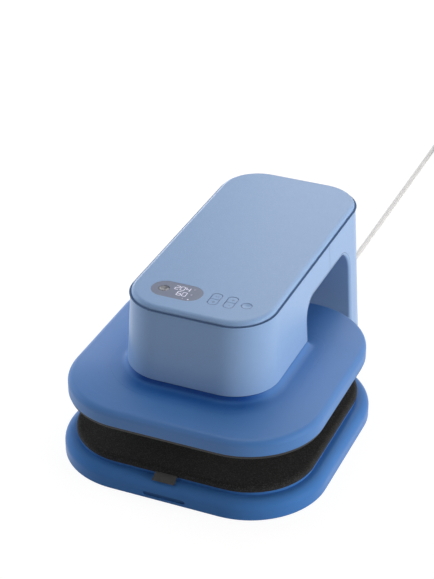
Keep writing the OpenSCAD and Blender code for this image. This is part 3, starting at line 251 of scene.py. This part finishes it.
def speckled_cloth(name, dark, light):
    finish = new_finish(name, dark, 0.92)
    tree = finish.node_tree
    place = tree.nodes.new("ShaderNodeTexCoord")
    threads = tree.nodes.new("ShaderNodeTexVoronoi")
    threads.inputs["Scale"].default_value = 900
    tree.links.new(place.outputs["Object"], threads.inputs["Vector"])
    tone = tree.nodes.new("ShaderNodeSeparateColor")
    tree.links.new(threads.outputs["Color"], tone.inputs["Color"])
    tint(finish, tone.outputs["Red"], dark, light, 0.55, 1)
    relief(finish, threads.outputs["Distance"], 0.0003)
    shader = shader_of(finish)
    shader.inputs["Sheen Weight"].default_value = 0.1
    shader.inputs["Sheen Roughness"].default_value = 0.5
    shader.inputs["Specular IOR Level"].default_value = 0.15
    return finish


mat_width, mat_depth, mat_corner, mat_swell = 0.389, 0.392, 0.106, 0.0004
foot_inset, glued_inset, foot_low, foot_top = 0.0044, 0.0030, 0.0350, 0.0369
under_round, edge_round, edge_level = 0.002, 0.006, 0.0424
crown, crown_reach, least_corner = 0.0006, 0.17, 0.012
under_steps, edge_steps, crown_steps, corner_steps = 4, 8, 24, 16
mat_rings = [(foot_inset, foot_low), (foot_inset, foot_top), (glued_inset, foot_top)]
held_rings = len(mat_rings)
for step in range(under_steps + 1):
    angle = math.radians(90 * step / under_steps)
    mat_rings.append((under_round * (1 - math.sin(angle)), foot_top + under_round * (1 - math.cos(angle))))
painted_rim_end = len(mat_rings) + edge_steps
for step in range(edge_steps + 1):
    angle = math.radians(90 * step / edge_steps)
    mat_rings.append((edge_round * (1 - math.cos(angle)), edge_level + edge_round * math.sin(angle)))
for step in range(1, crown_steps + 1):
    reach = step / crown_steps
    rise = crown * (1 - (1 - reach) ** 2)
    mat_rings.append((edge_round + crown_reach * reach, edge_level + edge_round + rise))
mat_points = []
for ring, (inset, height) in enumerate(mat_rings):
    slack = 0 if ring < held_rings else mat_swell
    inset += slack
    corner = max(least_corner, mat_corner - inset)
    for x, y in rounded_loop(mat_width - 2 * inset, mat_depth - 2 * inset, corner, corner_steps):
        mat_points.append((x, y, height - slack))
mat_count = 4 * (corner_steps + 1)
mat_faces = ring_faces(len(mat_rings), mat_count)
mat_faces.append(tuple(reversed(range(mat_count))))
mat_faces.append(tuple(range(len(mat_points) - mat_count, len(mat_points))))
mat_cloth = speckled_cloth("speckled_cloth", (0.009, 0.009, 0.010), (0.043, 0.043, 0.045))
# Painted highlight: the foot and the rounded rim get a lighter copy of the speckled cloth, so the edge
# reads lit.
rim_cloth_painted_light = speckled_cloth("rim_cloth_painted_light", (0.014, 0.014, 0.0147), (0.048, 0.048, 0.050))
press_pad = new_piece("press_pad", mat_points, mat_faces, mat_cloth)
press_pad.data.materials.append(rim_cloth_painted_light)
# The faces up to the top of the rim take the lighter copy, the painted highlight.
for face in press_pad.data.polygons[:painted_rim_end * mat_count]:
    face.material_index = 1
swell_cloth(press_pad, list(range(held_rings * mat_count)), mat_swell)
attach(press_pad, "base")
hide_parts("press_mat")


# Mat tag: a folded loop of woven ribbon sewn to the front of the mat. It stands out
# over the base's edge, bends down a little at its fold, and is left bare.
tag_left, tag_right = -0.020, 0.016
tag_line = [(-0.1960, 0.0403), (-0.1985, 0.0400), (-0.2010, 0.0391), (-0.2032, 0.0381), (-0.2052, 0.0370)]
tag_line += [(-0.2069, 0.0359), (-0.2084, 0.0348), (-0.2096, 0.0339), (-0.2100, 0.0333), (-0.2097, 0.0328)]
tag_line += [(-0.2089, 0.0331), (-0.2076, 0.0341), (-0.2061, 0.0351), (-0.2045, 0.0362), (-0.2027, 0.0373)]
tag_line += [(-0.2007, 0.0383), (-0.1984, 0.0389), (-0.1960, 0.0391)]
tag_points = []
tag_across = 12
for y, z in tag_line:
    for step in range(tag_across + 1):
        tag_points.append((tag_left + (tag_right - tag_left) * step / tag_across, y, z))
tag_faces = []
for row in range(len(tag_line) - 1):
    for step in range(tag_across):
        first = row * (tag_across + 1) + step
        tag_faces.append((first, first + 1, first + tag_across + 2, first + tag_across + 1))
tag_cloth = new_finish("tag_ribbon", (0.05, 0.05, 0.052), 0.8)
tag_tree = tag_cloth.node_tree
tag_place = tag_tree.nodes.new("ShaderNodeTexCoord")
tag_ribs = tag_tree.nodes.new("ShaderNodeTexWave")
tag_ribs.inputs["Scale"].default_value = 700
tag_ribs.inputs["Distortion"].default_value = 0.6
tag_tree.links.new(tag_place.outputs["Object"], tag_ribs.inputs["Vector"])
tint(tag_cloth, tag_ribs.outputs["Fac"], (0.042, 0.042, 0.044), (0.062, 0.062, 0.064))
relief(tag_cloth, tag_ribs.outputs["Fac"], 0.00012)
tag = new_piece("ribbon_tag", tag_points, tag_faces, tag_cloth)
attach(tag, "base")
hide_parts("mat_tag")


# Mains lead: a round pale grey PVC lead, 9 mm thick and about 1.8 m long. It leaves the tail through
# a tapered gland, lies along the table and ends in a flat coil with a two-pin plug.
cord_side, cord_radius = 0.0235, 0.0045
cord_route = [(cord_side, y, z) for y, z in (
    (0.39943, 0.014), (0.420, 0.014), (0.436, 0.0132), (0.452, 0.0114), (0.470, 0.0088), (0.488, 0.0064),
    (0.506, 0.0051), (0.526, 0.0046), (0.580, 0.0046), (0.640, 0.0046), (0.700, 0.0046), (0.760, 0.0046),
    (0.820, 0.0046), (0.880, 0.0046), (0.940, 0.0046), (1.000, 0.0046), (1.060, 0.0050))]
coil_x, coil_y, coil_radius, coil_pitch, coil_low = 0.0815, 1.115, 0.058, 0.0097, 0.0056
coil_turns, coil_steps, plug_side = 3.5, 24, 0.1395
for step in range(int(coil_turns * coil_steps) + 1):
    turn = step / coil_steps
    radius = coil_radius - coil_pitch * (coil_turns / 2 - abs(turn - coil_turns / 2))
    angle = math.radians(180 - 360 * turn)
    climb = min(1, max(0, (turn - 1.5) / 0.5))
    height = coil_low + coil_pitch * climb * climb * (3 - 2 * climb)
    cord_route.append((coil_x + radius * math.cos(angle), coil_y + radius * math.sin(angle), height))
cord_route += [(plug_side, 1.097, 0.0163), (plug_side, 1.079, 0.0185), (plug_side, 1.057, 0.0185)]
lead_pvc = new_finish("pale_lead", (0.64, 0.64, 0.64), 0.45)
tint(lead_pvc, surface_noise(lead_pvc, 30), (0.62, 0.62, 0.62), (0.66, 0.66, 0.66))
relief(lead_pvc, surface_noise(lead_pvc, 900), 0.00003)
lead_curve = bpy.data.curves.new("mains_lead", "CURVE")
lead_curve.dimensions = "3D"
lead_curve.bevel_depth = cord_radius
lead_curve.bevel_resolution = 5
lead_curve.use_fill_caps = True
lead_spline = lead_curve.splines.new("POLY")
lead_spline.points.add(len(cord_route) - 1)
for point, place in zip(lead_spline.points, cord_route):
    point.co = (*place, 1)
lead_spline.use_smooth = True
lead_curve.materials.append(lead_pvc)
lead = bpy.data.objects.new("mains_lead", lead_curve)
scene.collection.objects.link(lead)
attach(lead, "base")
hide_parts("cord_run", "cord_coil")
dress(lead_pvc, "cord_gland", "mains_plug")
dress(turned_steel, "plug_pins")
dress(housing_black, "coil_tie")


# Heat plate and what lies on it: a cast aluminium plate with a dark non-stick face,
# the heating element, its sensor, a blanket of mineral wool, and the standoffs.
coated_plate = new_finish("coated_plate", (0.030, 0.030, 0.031), 0.5)
tint(coated_plate, surface_noise(coated_plate, 500), (0.022, 0.022, 0.023), (0.040, 0.040, 0.041))
relief(coated_plate, surface_noise(coated_plate, 1800), 0.00002, 0.0005)
dress(coated_plate, "heat_plate")
mineral_wool = new_finish("mineral_wool", (0.75, 0.72, 0.62), 0.95)
tint(mineral_wool, surface_noise(mineral_wool, 300, 6), (0.60, 0.57, 0.48), (0.80, 0.78, 0.70))
relief(mineral_wool, surface_noise(mineral_wool, 700, 6), 0.0006)
dress(mineral_wool, "insulation_blanket")
dress(soft_brass, "temperature_sensor")
dress(plated_steel, "heating_element", "platen_standoffs", "platen_carriage")


# Platen cover and rim: a deep blue moulding with a low dome, over a thin black rim that holds
# the heat plate away from it. The cover sweeps up to the head in one soft hollow curve, and the neck
# inside that curve slides up into the head. In that hollow the blue is darkened and the sheen cut as
# painted shade, deepest as a painted shadow in front of the head.
platen_blue, platen_gloss = (0.05, 0.168, 0.432), 0.5
painted_shadow_middle, painted_shadow_near, painted_shadow_far, painted_shade_reach = (0.01, -0.145, 0.15), 0.085, 0.125, 0.04
collar_shade_top, collar_shade_foot = 0.1502, 0.1472


def ranged(tree, value, low, high, first, last):
    span = tree.nodes.new("ShaderNodeMapRange")
    span.inputs["From Min"].default_value = low
    span.inputs["From Max"].default_value = high
    span.inputs["To Max"].default_value = last
    if isinstance(first, bpy.types.NodeSocket):
        tree.links.new(first, span.inputs["To Min"])
    else:
        span.inputs["To Min"].default_value = first
    tree.links.new(value, span.inputs["Value"])
    return span.outputs["Result"]


def shade_painted_plastic(name, steep):
    # Painted shade: the blue is darkened and the sheen cut where little sky reaches, most of all in a
    # painted shadow in front of the head.
    finish = satin_plastic(name, platen_blue, 0.4, 0.5, platen_gloss)
    tree = finish.node_tree
    shader = shader_of(finish)
    place = tree.nodes.new("ShaderNodeTexCoord")
    front = tree.nodes.new("ShaderNodeVectorMath")
    front.operation = "DISTANCE"
    front.inputs[1].default_value = painted_shadow_middle
    tree.links.new(place.outputs["Object"], front.inputs[0])
    away = front.outputs["Value"]
    hollow = tree.nodes.new("ShaderNodeAmbientOcclusion")
    hollow.samples = 8
    hollow.inputs["Distance"].default_value = painted_shade_reach
    open_sky = hollow.outputs["AO"]
    least_gloss = ranged(tree, away, painted_shadow_near, painted_shadow_far, 0, 0.4)
    gloss = ranged(tree, open_sky, 0.85, 0.98, least_gloss, platen_gloss)
    tree.links.new(gloss, shader.inputs["Specular IOR Level"])
    most_painted_shade = ranged(tree, away, painted_shadow_near, painted_shadow_far, 1.6, 1.05)
    depth = ranged(tree, open_sky, 0.55, 0.95, most_painted_shade, 1)
    # Painted shade on the collar: its steep face is darkened towards its top, most of all in front of the
    # head.
    if steep:
        axes = tree.nodes.new("ShaderNodeSeparateXYZ")
        tree.links.new(place.outputs["Object"], axes.inputs["Vector"])
        most_collar_shade = ranged(tree, away, painted_shadow_near, painted_shadow_far, 1.35, 1)
        climb = ranged(tree, axes.outputs["Z"], collar_shade_top, collar_shade_foot, most_collar_shade, 1)
        both = tree.nodes.new("ShaderNodeMath")
        both.operation = "MULTIPLY"
        tree.links.new(depth, both.inputs[0])
        tree.links.new(climb, both.inputs[1])
        depth = both.outputs["Value"]
    # The painted shade is laid on by raising the colour to a higher power.
    shade = tree.nodes.new("ShaderNodeGamma")
    paint = shader.inputs["Base Color"]
    tree.links.new(paint.links[0].from_socket, shade.inputs["Color"])
    tree.links.new(depth, shade.inputs["Gamma"])
    tree.links.new(shade.outputs["Color"], paint)
    return finish


platen_plastic_painted_shade = shade_painted_plastic("platen_plastic_painted_shade", False)
collar_plastic_painted_shade = shade_painted_plastic("collar_plastic_painted_shade", True)
dress(platen_plastic_painted_shade, "platen_cover", "neck_sleeve")
dome_flat_x, dome_flat_y, dome_top, dome_radius = 0.085, 0.0875, 0.147, 0.61005


def dome_height(x, y):
    past_x = max(0, abs(x) - dome_flat_x)
    past_y = max(0, abs(y) - dome_flat_y)
    return dome_top - dome_radius + math.sqrt(dome_radius ** 2 - past_x ** 2 - past_y ** 2)


def tube_faces(rings, count):
    whole = rings * count
    return [tuple(spot % whole for spot in face) for face in ring_faces(rings + 1, count)]


collar_half, collar_front, collar_rear, collar_top, collar_reach = 0.12244, -0.12869, 0.067, 0.15442, 0.028
front_round, rear_round, collar_steps = 0.07269, 0.007, 16
collar_lift, collar_sunk = 0.00002, 0.0004
collar_corners = ((-1, 1, -1, front_round), (0, 1, 1, rear_round), (1, -1, 1, rear_round),
                  (2, -1, -1, front_round))


def collar_ring(out):
    ring = []
    for turn, side_x, side_y, radius in collar_corners:
        middle_x = side_x * (collar_half - radius)
        middle_y = collar_front + radius if side_y < 0 else collar_rear - radius
        for step in range(collar_steps + 1):
            angle = math.radians(90 * turn + 90 * step / collar_steps)
            ring.append((middle_x + (radius + out) * math.cos(angle),
                         middle_y + (radius + out) * math.sin(angle)))
    return ring


collar_outs = (collar_reach, 0.023, 0.019, 0.0155, 0.0125, 0.010, 0.008, 0.0062, 0.0048, 0.0036, 0.0026)
collar_outs += (0.0018, 0.0011, 0.0005, 0, -0.0012)
collar_points = []
for out in collar_outs:
    fade = (1 - max(0, out) / collar_reach) ** 8
    for x, y in collar_ring(out):
        foot = dome_height(x, y)
        collar_points.append((x, y, foot + collar_lift + (collar_top - foot) * fade))
for out in (collar_outs[-1], collar_outs[0]):
    collar_points += [(x, y, dome_height(x, y) - collar_sunk) for x, y in collar_ring(out)]
collar_faces = tube_faces(len(collar_outs) + 2, 4 * (collar_steps + 1))
collar = new_piece("platen_collar", collar_points, collar_faces, collar_plastic_painted_shade)
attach(collar, "platen")
rim_black = black_moulding("rim_black", 0.008)
dress(rim_black, "platen_rim")


# Press drive: a geared motor on the arm's folded steel frame turns the lead screw through a
# pinion and a brass gear, and the screw pushes the carriage down its guide posts.
dress(plated_steel, "drive_motor", "arm_frame")
dress(turned_steel, "guide_posts", "lead_screw", "thrust_bearing")
dress(soft_brass, "guide_bushes", "lead_nut", "screw_gear", "motor_pinion")


# Head and arch: two pale blue mouldings and a band of the same plastic that lines the arch, its
# edges rounded where the tunnel opens at the sides. Fine dark seam lines on the side walls show
# where the band meets the shells and where the two shells meet under the lid.
pale_blue = (0.235, 0.378, 0.63)
arm_plastic = satin_plastic("arm_plastic", pale_blue, 0.26, 0.34, 0.3)
dress(arm_plastic, "head_shell_front", "arch_shell_rear")
arm_top_half, arm_top, arm_draft = 0.11575, 0.271, 3.3


def arm_half(height):
    return arm_top_half + (arm_top - height) * math.tan(math.radians(arm_draft))


liner_round, liner_thick = 0.0044, 0.005
liner_bends = ((0.098, 0.189, 0.031, 180, 12), (0.21843, 0.177, 0.043, 90, 16))
liner_path = [(0.067, 0.155, -1, 0)]
for middle_y, middle_z, radius, opening, steps in liner_bends:
    for step in range(steps + 1):
        angle = math.radians(opening - 90 * step / steps)
        along, up = math.cos(angle), math.sin(angle)
        liner_path.append((middle_y + radius * along, middle_z + radius * up, along, up))
liner_path.append((0.26143, 0.038, 1, 0))
liner_section = [(1, 90, liner_thick)]
liner_section += [(1, 90 - 15 * step, None) for step in range(7)]
liner_section += [(-1, 15 * step, None) for step in range(7)]
liner_section += [(-1, 90, liner_thick)]
liner_points = []
for y, z, along, up in liner_path:
    for side, turn, depth in liner_section:
        angle = math.radians(turn)
        back = depth or liner_round * (1 - math.cos(angle))
        height = z + up * back
        half = arm_half(height) - liner_round * (1 - math.sin(angle))
        liner_points.append((side * half, y + along * back, height))
liner_faces = ring_faces(len(liner_path), len(liner_section))
liner_faces.append(tuple(reversed(range(len(liner_section)))))
liner_faces.append(tuple(range(len(liner_points) - len(liner_section), len(liner_points))))
liner = new_piece("arch_band", liner_points, liner_faces, arm_plastic)
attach(liner, "arm")
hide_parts("arch_liner")
seam_half, seam_sunk, seam_proud = 0.00025, 0.0003, 0.00004
seam_section = ((-seam_half, -seam_sunk), (-seam_half, seam_proud), (seam_half, seam_proud),
                (seam_half, -seam_sunk))
arch_seam = [(y + along * liner_thick, z + up * liner_thick, along, up) for y, z, along, up in liner_path]
join_y, join_top, join_foot = 0.17125, 0.2705, 0.2262
shell_seam = [(join_y, join_top, 1, 0), (join_y, join_foot, 1, 0)]
seam_points, seam_faces = [], []
for seam in (arch_seam, shell_seam):
    for side in (-1, 1):
        first = len(seam_points)
        for y, z, along, up in seam:
            for edge, lift in seam_section:
                height = z + up * edge
                seam_points.append((side * (arm_half(height) + lift), y + along * edge, height))
        last = len(seam_points)
        strip = [tuple(first + spot for spot in face) for face in ring_faces(len(seam), 4)]
        strip += [(first + 3, first + 2, first + 1, first), (last - 4, last - 3, last - 2, last - 1)]
        seam_faces += strip if side < 0 else [tuple(reversed(face)) for face in strip]
seam_shade = satin_plastic("seam_shade", tuple(part * 0.3 for part in pale_blue), 0.5, 0.6, 0.1)
seams = new_piece("shell_seams", seam_points, seam_faces, seam_shade)
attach(seams, "arm")


# Display: a smoked grey window with round ends, let into the lid. Behind it a black panel on the
# control board holds the lamps, and the figures shine through the window's tinted face.
dress(housing_black, "display_module")
dress(board_green, "control_board")
smoked = new_finish("smoked_window", (0.125, 0.155, 0.245), 0.3)
tint(smoked, surface_noise(smoked, 50), (0.123, 0.153, 0.242), (0.127, 0.157, 0.248))
relief(smoked, surface_noise(smoked, 1200), 0.000004, 0.0004)
dress(smoked, "display_lens")
lit_finish = new_finish("lit_figures", (0.40, 0.40, 0.50), 0.4)
tint(lit_finish, surface_noise(lit_finish, 900), (0.38, 0.38, 0.48), (0.42, 0.42, 0.52))
shader_of(lit_finish).inputs["Emission Color"].default_value = (0.84, 0.82, 1.0, 1)
shader_of(lit_finish).inputs["Emission Strength"].default_value = 0.6
dim_finish = new_finish("dim_figures", (0.52, 0.54, 0.72), 0.4)
tint(dim_finish, surface_noise(dim_finish, 900), (0.50, 0.52, 0.70), (0.54, 0.56, 0.74))


def add_bar(shape, start, end, thickness, low, high):
    points, faces = shape
    first, last = Vector(start), Vector(end)
    tip = (last - first).normalized() * thickness / 2
    across = Vector((-tip.y, tip.x))
    outline = [first - tip * 0.2 - across, last + tip * 0.2 - across, last + tip, last + tip * 0.2 + across,
               first - tip * 0.2 + across, first - tip]
    base = len(points)
    count = len(outline)
    for height in (low, high):
        points.extend((spot.x, spot.y, height) for spot in outline)
    faces.append(tuple(base + count + spot for spot in range(count)))
    faces.append(tuple(base + spot for spot in reversed(range(count))))
    for spot in range(count):
        after = (spot + 1) % count
        faces.append((base + spot, base + after, base + count + after, base + count + spot))


def add_ring(shape, middle, radius, thickness, low, high):
    spots = []
    for step in range(11):
        angle = math.radians(36 * step)
        spots.append((middle[0] + radius * math.cos(angle), middle[1] + radius * math.sin(angle)))
    for start, end in zip(spots, spots[1:]):
        add_bar(shape, start, end, thickness, low, high)


# The seven strokes of a figure, from one end to the other in parts of its width and height.
figure_strokes = {"a": (0, 1, 1, 1), "b": (1, 1, 1, 0.5), "c": (1, 0.5, 1, 0), "d": (0, 0, 1, 0),
                  "e": (0, 0.5, 0, 0), "f": (0, 1, 0, 0.5), "g": (0, 0.5, 1, 0.5)}
lit_strokes = {"2": "abged", "0": "abcdef", "4": "fgbc", "6": "afgecd"}
window_face, figure_face = 0.27888, 0.27896
figure_wide, figure_pitch, figure_right, figure_line, figure_gap = 0.0062, 0.0086, -0.0232, 0.0010, 0.0006
lit_shape = ([], [])
for text, low, tall in (("204", -0.0620, 0.0100), ("60", -0.0768, 0.0106)):
    for place, symbol in enumerate(reversed(text)):
        left = figure_right - figure_wide - place * figure_pitch
        for stroke in lit_strokes[symbol]:
            from_x, from_y, to_x, to_y = figure_strokes[stroke]
            start = Vector((left + from_x * figure_wide, low + from_y * tall))
            end = Vector((left + to_x * figure_wide, low + to_y * tall))
            along = (end - start).normalized() * figure_gap
            add_bar(lit_shape, start + along, end - along, figure_line, window_face, figure_face)
add_bar(lit_shape, (-0.0249, -0.0827), (-0.0243, -0.0827), figure_line, window_face, figure_face)
add_bar(lit_shape, (-0.0160, -0.0828), (-0.0152, -0.0828), 2 * figure_line, window_face, figure_face)
lit_panel = new_piece("lit_figures", *lit_shape, lit_finish)
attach(lit_panel, "arm")
unit_left, unit_right, unit_line = -0.0168, -0.0150, 0.0007
unit_bars = (((unit_left, -0.0552), (unit_left, -0.0522)), ((unit_left, -0.0522), (-0.0152, -0.0522)),
             ((unit_left, -0.0537), (-0.0155, -0.0537)), ((unit_left, -0.0672), (unit_right, -0.0672)),
             ((unit_left, -0.0672), (unit_left, -0.0685)), ((unit_left, -0.0686), (unit_right, -0.0686)),
             ((unit_right, -0.0687), (unit_right, -0.0699)), ((unit_left, -0.0700), (unit_right, -0.0700)))
dim_shape = ([], [])
add_ring(dim_shape, (-0.0186, -0.0524), 0.0009, 0.0005, window_face, figure_face)
for start, end in unit_bars:
    add_bar(dim_shape, start, end, unit_line, window_face, figure_face)
dim_panel = new_piece("unit_signs", *dim_shape, dim_finish)
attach(dim_panel, "arm")


# Keys: a dished power button in the window's round end, two rockers and a dished start button in
# the lid, all moulded to lie flush over small black switches. The rockers and the start button carry
# thin dark outlines along their edges, painted shade for the narrow gaps round them; the rockers also
# carry small printed signs, and the start button is bare inside its ring.
lid_plastic = satin_plastic("lid_plastic", pale_blue, 0.22, 0.3, 0.34)
dress(lid_plastic, "temp_time_rocker", "plus_minus_rocker", "start_button")
dress(housing_black, "key_switches")
key_row, button_middle, button_top = -0.066, -0.0617, 0.2788
dish_radius, dish_depth, dish_least, button_steps = 0.0069, 0.0019, 0.0001, 48
button_profile = [(0.0091, 0.2728), (0.0091, 0.2755), (0.0078, 0.2755), (0.0078, 0.2785)]
button_profile.append((0.0075, button_top))
for step in range(9):
    radius = dish_radius * (1 - step / 8)
    sunk = dish_depth * (1 - (radius / dish_radius) ** 2)
    button_profile.append((max(dish_least, radius), button_top - sunk))
button_points = []
for radius, height in button_profile:
    for step in range(button_steps):
        angle = math.radians(360 * step / button_steps)
        button_points.append((button_middle + radius * math.cos(angle), key_row + radius * math.sin(angle),
                              height))
button_faces = ring_faces(len(button_profile), button_steps)
button_faces.append(tuple(reversed(range(button_steps))))
button_faces.append(tuple(range(len(button_points) - button_steps, len(button_points))))
key_grey = satin_plastic("key_grey", (0.085, 0.095, 0.125), 0.18, 0.26, 0.9)
power_key = new_piece("power_key_cap", button_points, button_faces, key_grey)
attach(power_key, "power_key")
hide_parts("power_button")
ink_and_edge_shade = new_finish("ink_and_edge_shade", (0.07, 0.11, 0.21), 0.5)
tint(ink_and_edge_shade, surface_noise(ink_and_edge_shade, 700), (0.06, 0.10, 0.19), (0.08, 0.12, 0.23))
key_face, sign_face, edge_shade_line = 0.27878, 0.27884, 0.0004
rocker_size, start_size, least_step = (0.0153, 0.0323, 0.00645), (0.0155, 0.0155, 0.00775), 0.000001


# Painted shade: a thin dark band just inside a key's edge stands in for the shadow in the gap round it.
def add_edge_shade(shape, middle_x, size):
    points, faces = shape
    first = len(points)
    width, depth, corner = size
    section = ((0, key_face), (0, sign_face), (edge_shade_line, sign_face), (edge_shade_line, key_face))
    for inset, height in section:
        loop = rounded_loop(width - 2 * inset, depth - 2 * inset, corner - inset, 8)
        pairs = zip(loop, loop[1:] + loop[:1])
        loop = [spot for spot, after in pairs if math.dist(spot, after) > least_step]
        points.extend((middle_x + x, key_row + y, height) for x, y in loop)
    faces.extend(tuple(first + spot for spot in face) for face in tube_faces(4, len(loop)))


heat_signs = ([], [])
add_edge_shade(heat_signs, 0.0210, rocker_size)
add_bar(heat_signs, (0.0190, -0.0583), (0.0210, -0.0583), 0.0008, key_face, sign_face)
add_bar(heat_signs, (0.0226, -0.0583), (0.0246, -0.0583), 0.0008, key_face, sign_face)
add_ring(heat_signs, (0.0218, -0.0739), 0.0016, 0.0006, key_face, sign_face)
add_bar(heat_signs, (0.0218, -0.0739), (0.0218, -0.0730), 0.0005, key_face, sign_face)
heat_print = new_piece("temp_time_signs", *heat_signs, ink_and_edge_shade)
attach(heat_print, "temp_time_key")
step_signs = ([], [])
add_edge_shade(step_signs, 0.0464, rocker_size)
for start, end in (((0.0452, -0.0582), (0.0488, -0.0582)), ((0.0470, -0.0600), (0.0470, -0.0564)),
                   ((0.0456, -0.0746), (0.0488, -0.0746))):
    add_bar(step_signs, start, end, 0.0007, key_face, sign_face)
step_print = new_piece("plus_minus_signs", *step_signs, ink_and_edge_shade)
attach(step_print, "plus_minus_key")
start_edge_shade_shape = ([], [])
add_edge_shade(start_edge_shade_shape, 0.0718, start_size)
start_edge_shade_piece = new_piece("start_key_edge_shade", *start_edge_shade_shape, ink_and_edge_shade)
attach(start_edge_shade_piece, "start_key")


# Top lid: a pale blue moulding with a wide rounded edge that closes the arm from above.
# It stands on the two shells with a narrow shadow groove under its edge, and is left bare.
# A thin dark blue strip lies in the groove and stands out a little past the shells: painted shade for the
# groove's shadow line.
dress(lid_plastic, "top_lid")
# Painted shade: the strip's dark blue stands in for the shadow in the groove.
lip_painted_shade = new_finish("lip_painted_shade", (0.085, 0.145, 0.27), 0.8)
tint(lip_painted_shade, surface_noise(lip_painted_shade, 300), (0.081, 0.140, 0.262), (0.089, 0.150, 0.278))
shader_of(lip_painted_shade).inputs["Specular IOR Level"].default_value = 0.1
lip_width, lip_depth, lip_corner, lip_middle, lip_steps = 0.2315, 0.472, 0.066, 0.114, 16
lip_profile = [(-0.0016, 0.2711), (0.0015, 0.2711), (0.0018, 0.27135), (0.0015, 0.2716), (-0.0016, 0.2717)]
lip_points = []
for out, height in lip_profile:
    for x, y in rounded_loop(lip_width + 2 * out, lip_depth + 2 * out, lip_corner + out, lip_steps):
        lip_points.append((x, y + lip_middle, height))
lip_faces = tube_faces(len(lip_profile), 4 * (lip_steps + 1))
lid_shadow_strip = new_piece("lid_shadow_strip", lip_points, lip_faces, lip_painted_shade)
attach(lid_shadow_strip, "arm")


# Stage: a plain pale floor that holds the soft shadow of the object, soft studio light from the
# left, the right, above and behind, and the camera of the picture. The two strong side lamps light
# the object but don't show in its gloss.
scene.view_settings.view_transform = "Standard"
camera_data = bpy.data.cameras.new("camera")
camera_data.lens = 109.31
camera_data.sensor_width = 36
camera_data.clip_end = 50
camera = bpy.data.objects.new("camera", camera_data)
camera.location = (0.8968, -2.1164, 1.6259)
camera.rotation_euler = (math.radians(90 - 30.824), 0, math.radians(23.051))
scene.collection.objects.link(camera)
scene.camera = camera


def seen_rays(tree):
    rays = tree.nodes.new("ShaderNodeLightPath")
    seen = rays.outputs["Is Camera Ray"]
    for kind in ("Is Glossy Ray", "Is Transmission Ray"):
        either = tree.nodes.new("ShaderNodeMath")
        either.operation = "MAXIMUM"
        tree.links.new(seen, either.inputs[0])
        tree.links.new(rays.outputs[kind], either.inputs[1])
        seen = either.outputs["Value"]
    return seen


floor_half = 9
floor_finish = bpy.data.materials.new("pale_floor")
floor_finish.use_nodes = True
floor_tree = floor_finish.node_tree
floor_tree.nodes.clear()
floor_out = floor_tree.nodes.new("ShaderNodeOutputMaterial")
floor_lit = floor_tree.nodes.new("ShaderNodeBsdfDiffuse")
floor_lit.inputs["Color"].default_value = (0.8, 0.8, 0.8, 1)
floor_shade = floor_tree.nodes.new("ShaderNodeBsdfDiffuse")
floor_shade.inputs["Color"].default_value = (0.16, 0.16, 0.16, 1)
floor_white = floor_tree.nodes.new("ShaderNodeEmission")
floor_white.inputs["Strength"].default_value = 0.90
floor_sum = floor_tree.nodes.new("ShaderNodeAddShader")
floor_mix = floor_tree.nodes.new("ShaderNodeMixShader")
floor_tree.links.new(seen_rays(floor_tree), floor_mix.inputs["Fac"])
floor_tree.links.new(floor_lit.outputs["BSDF"], floor_mix.inputs[1])
floor_tree.links.new(floor_white.outputs["Emission"], floor_sum.inputs[0])
floor_tree.links.new(floor_shade.outputs["BSDF"], floor_sum.inputs[1])
floor_tree.links.new(floor_sum.outputs["Shader"], floor_mix.inputs[2])
floor_tree.links.new(floor_mix.outputs["Shader"], floor_out.inputs["Surface"])
floor_corners = [(side_x * floor_half, side_y * floor_half, 0)
                 for side_x, side_y in ((-1, -1), (1, -1), (1, 1), (-1, 1))]
floor = new_piece("floor", floor_corners, [(0, 1, 2, 3)], floor_finish)

studio = bpy.data.worlds.new("studio")
scene.world = studio
studio.use_nodes = True
studio_tree = studio.node_tree
studio_level = studio_tree.nodes.new("ShaderNodeMapRange")
studio_level.inputs["To Min"].default_value = 0.08
studio_level.inputs["To Max"].default_value = 1
studio_tree.links.new(seen_rays(studio_tree), studio_level.inputs["Value"])
studio_sky = studio_tree.nodes["Background"]
studio_sky.inputs["Color"].default_value = (1, 1, 1, 1)
studio_tree.links.new(studio_level.outputs["Result"], studio_sky.inputs["Strength"])

lamp_aim = Vector((0, 0.1, 0.12))


def soft_lamp(name, place, size, power, colour=(1, 1, 1), in_gloss=True):
    lamp_data = bpy.data.lights.new(name, "AREA")
    lamp_data.energy = power
    lamp_data.size = size
    lamp_data.color = colour
    lamp = bpy.data.objects.new(name, lamp_data)
    lamp.location = place
    lamp.visible_glossy = in_gloss
    lamp.rotation_euler = (lamp_aim - Vector(place)).to_track_quat("-Z", "Y").to_euler()
    scene.collection.objects.link(lamp)


soft_lamp("right_lamp", (2.2, -0.1, 0.35), 1.4, 55, (1, 0.96, 0.92), in_gloss=False)
soft_lamp("right_back_lamp", (1.8, 2.0, 0.9), 1.6, 7)
soft_lamp("back_lamp", (0, 2.2, 1.9), 2.0, 20)
soft_lamp("top_lamp", (0, 0.2, 2.8), 2.0, 20)
soft_lamp("left_lamp", (-2.2, 0.3, 0.8), 1.6, 35, in_gloss=False)
soft_lamp("left_back_lamp", (-1.6, 2.0, 0.5), 1.2, 7)
soft_lamp("front_lamp", (-0.8, -2.4, 1.2), 1.6, 5)
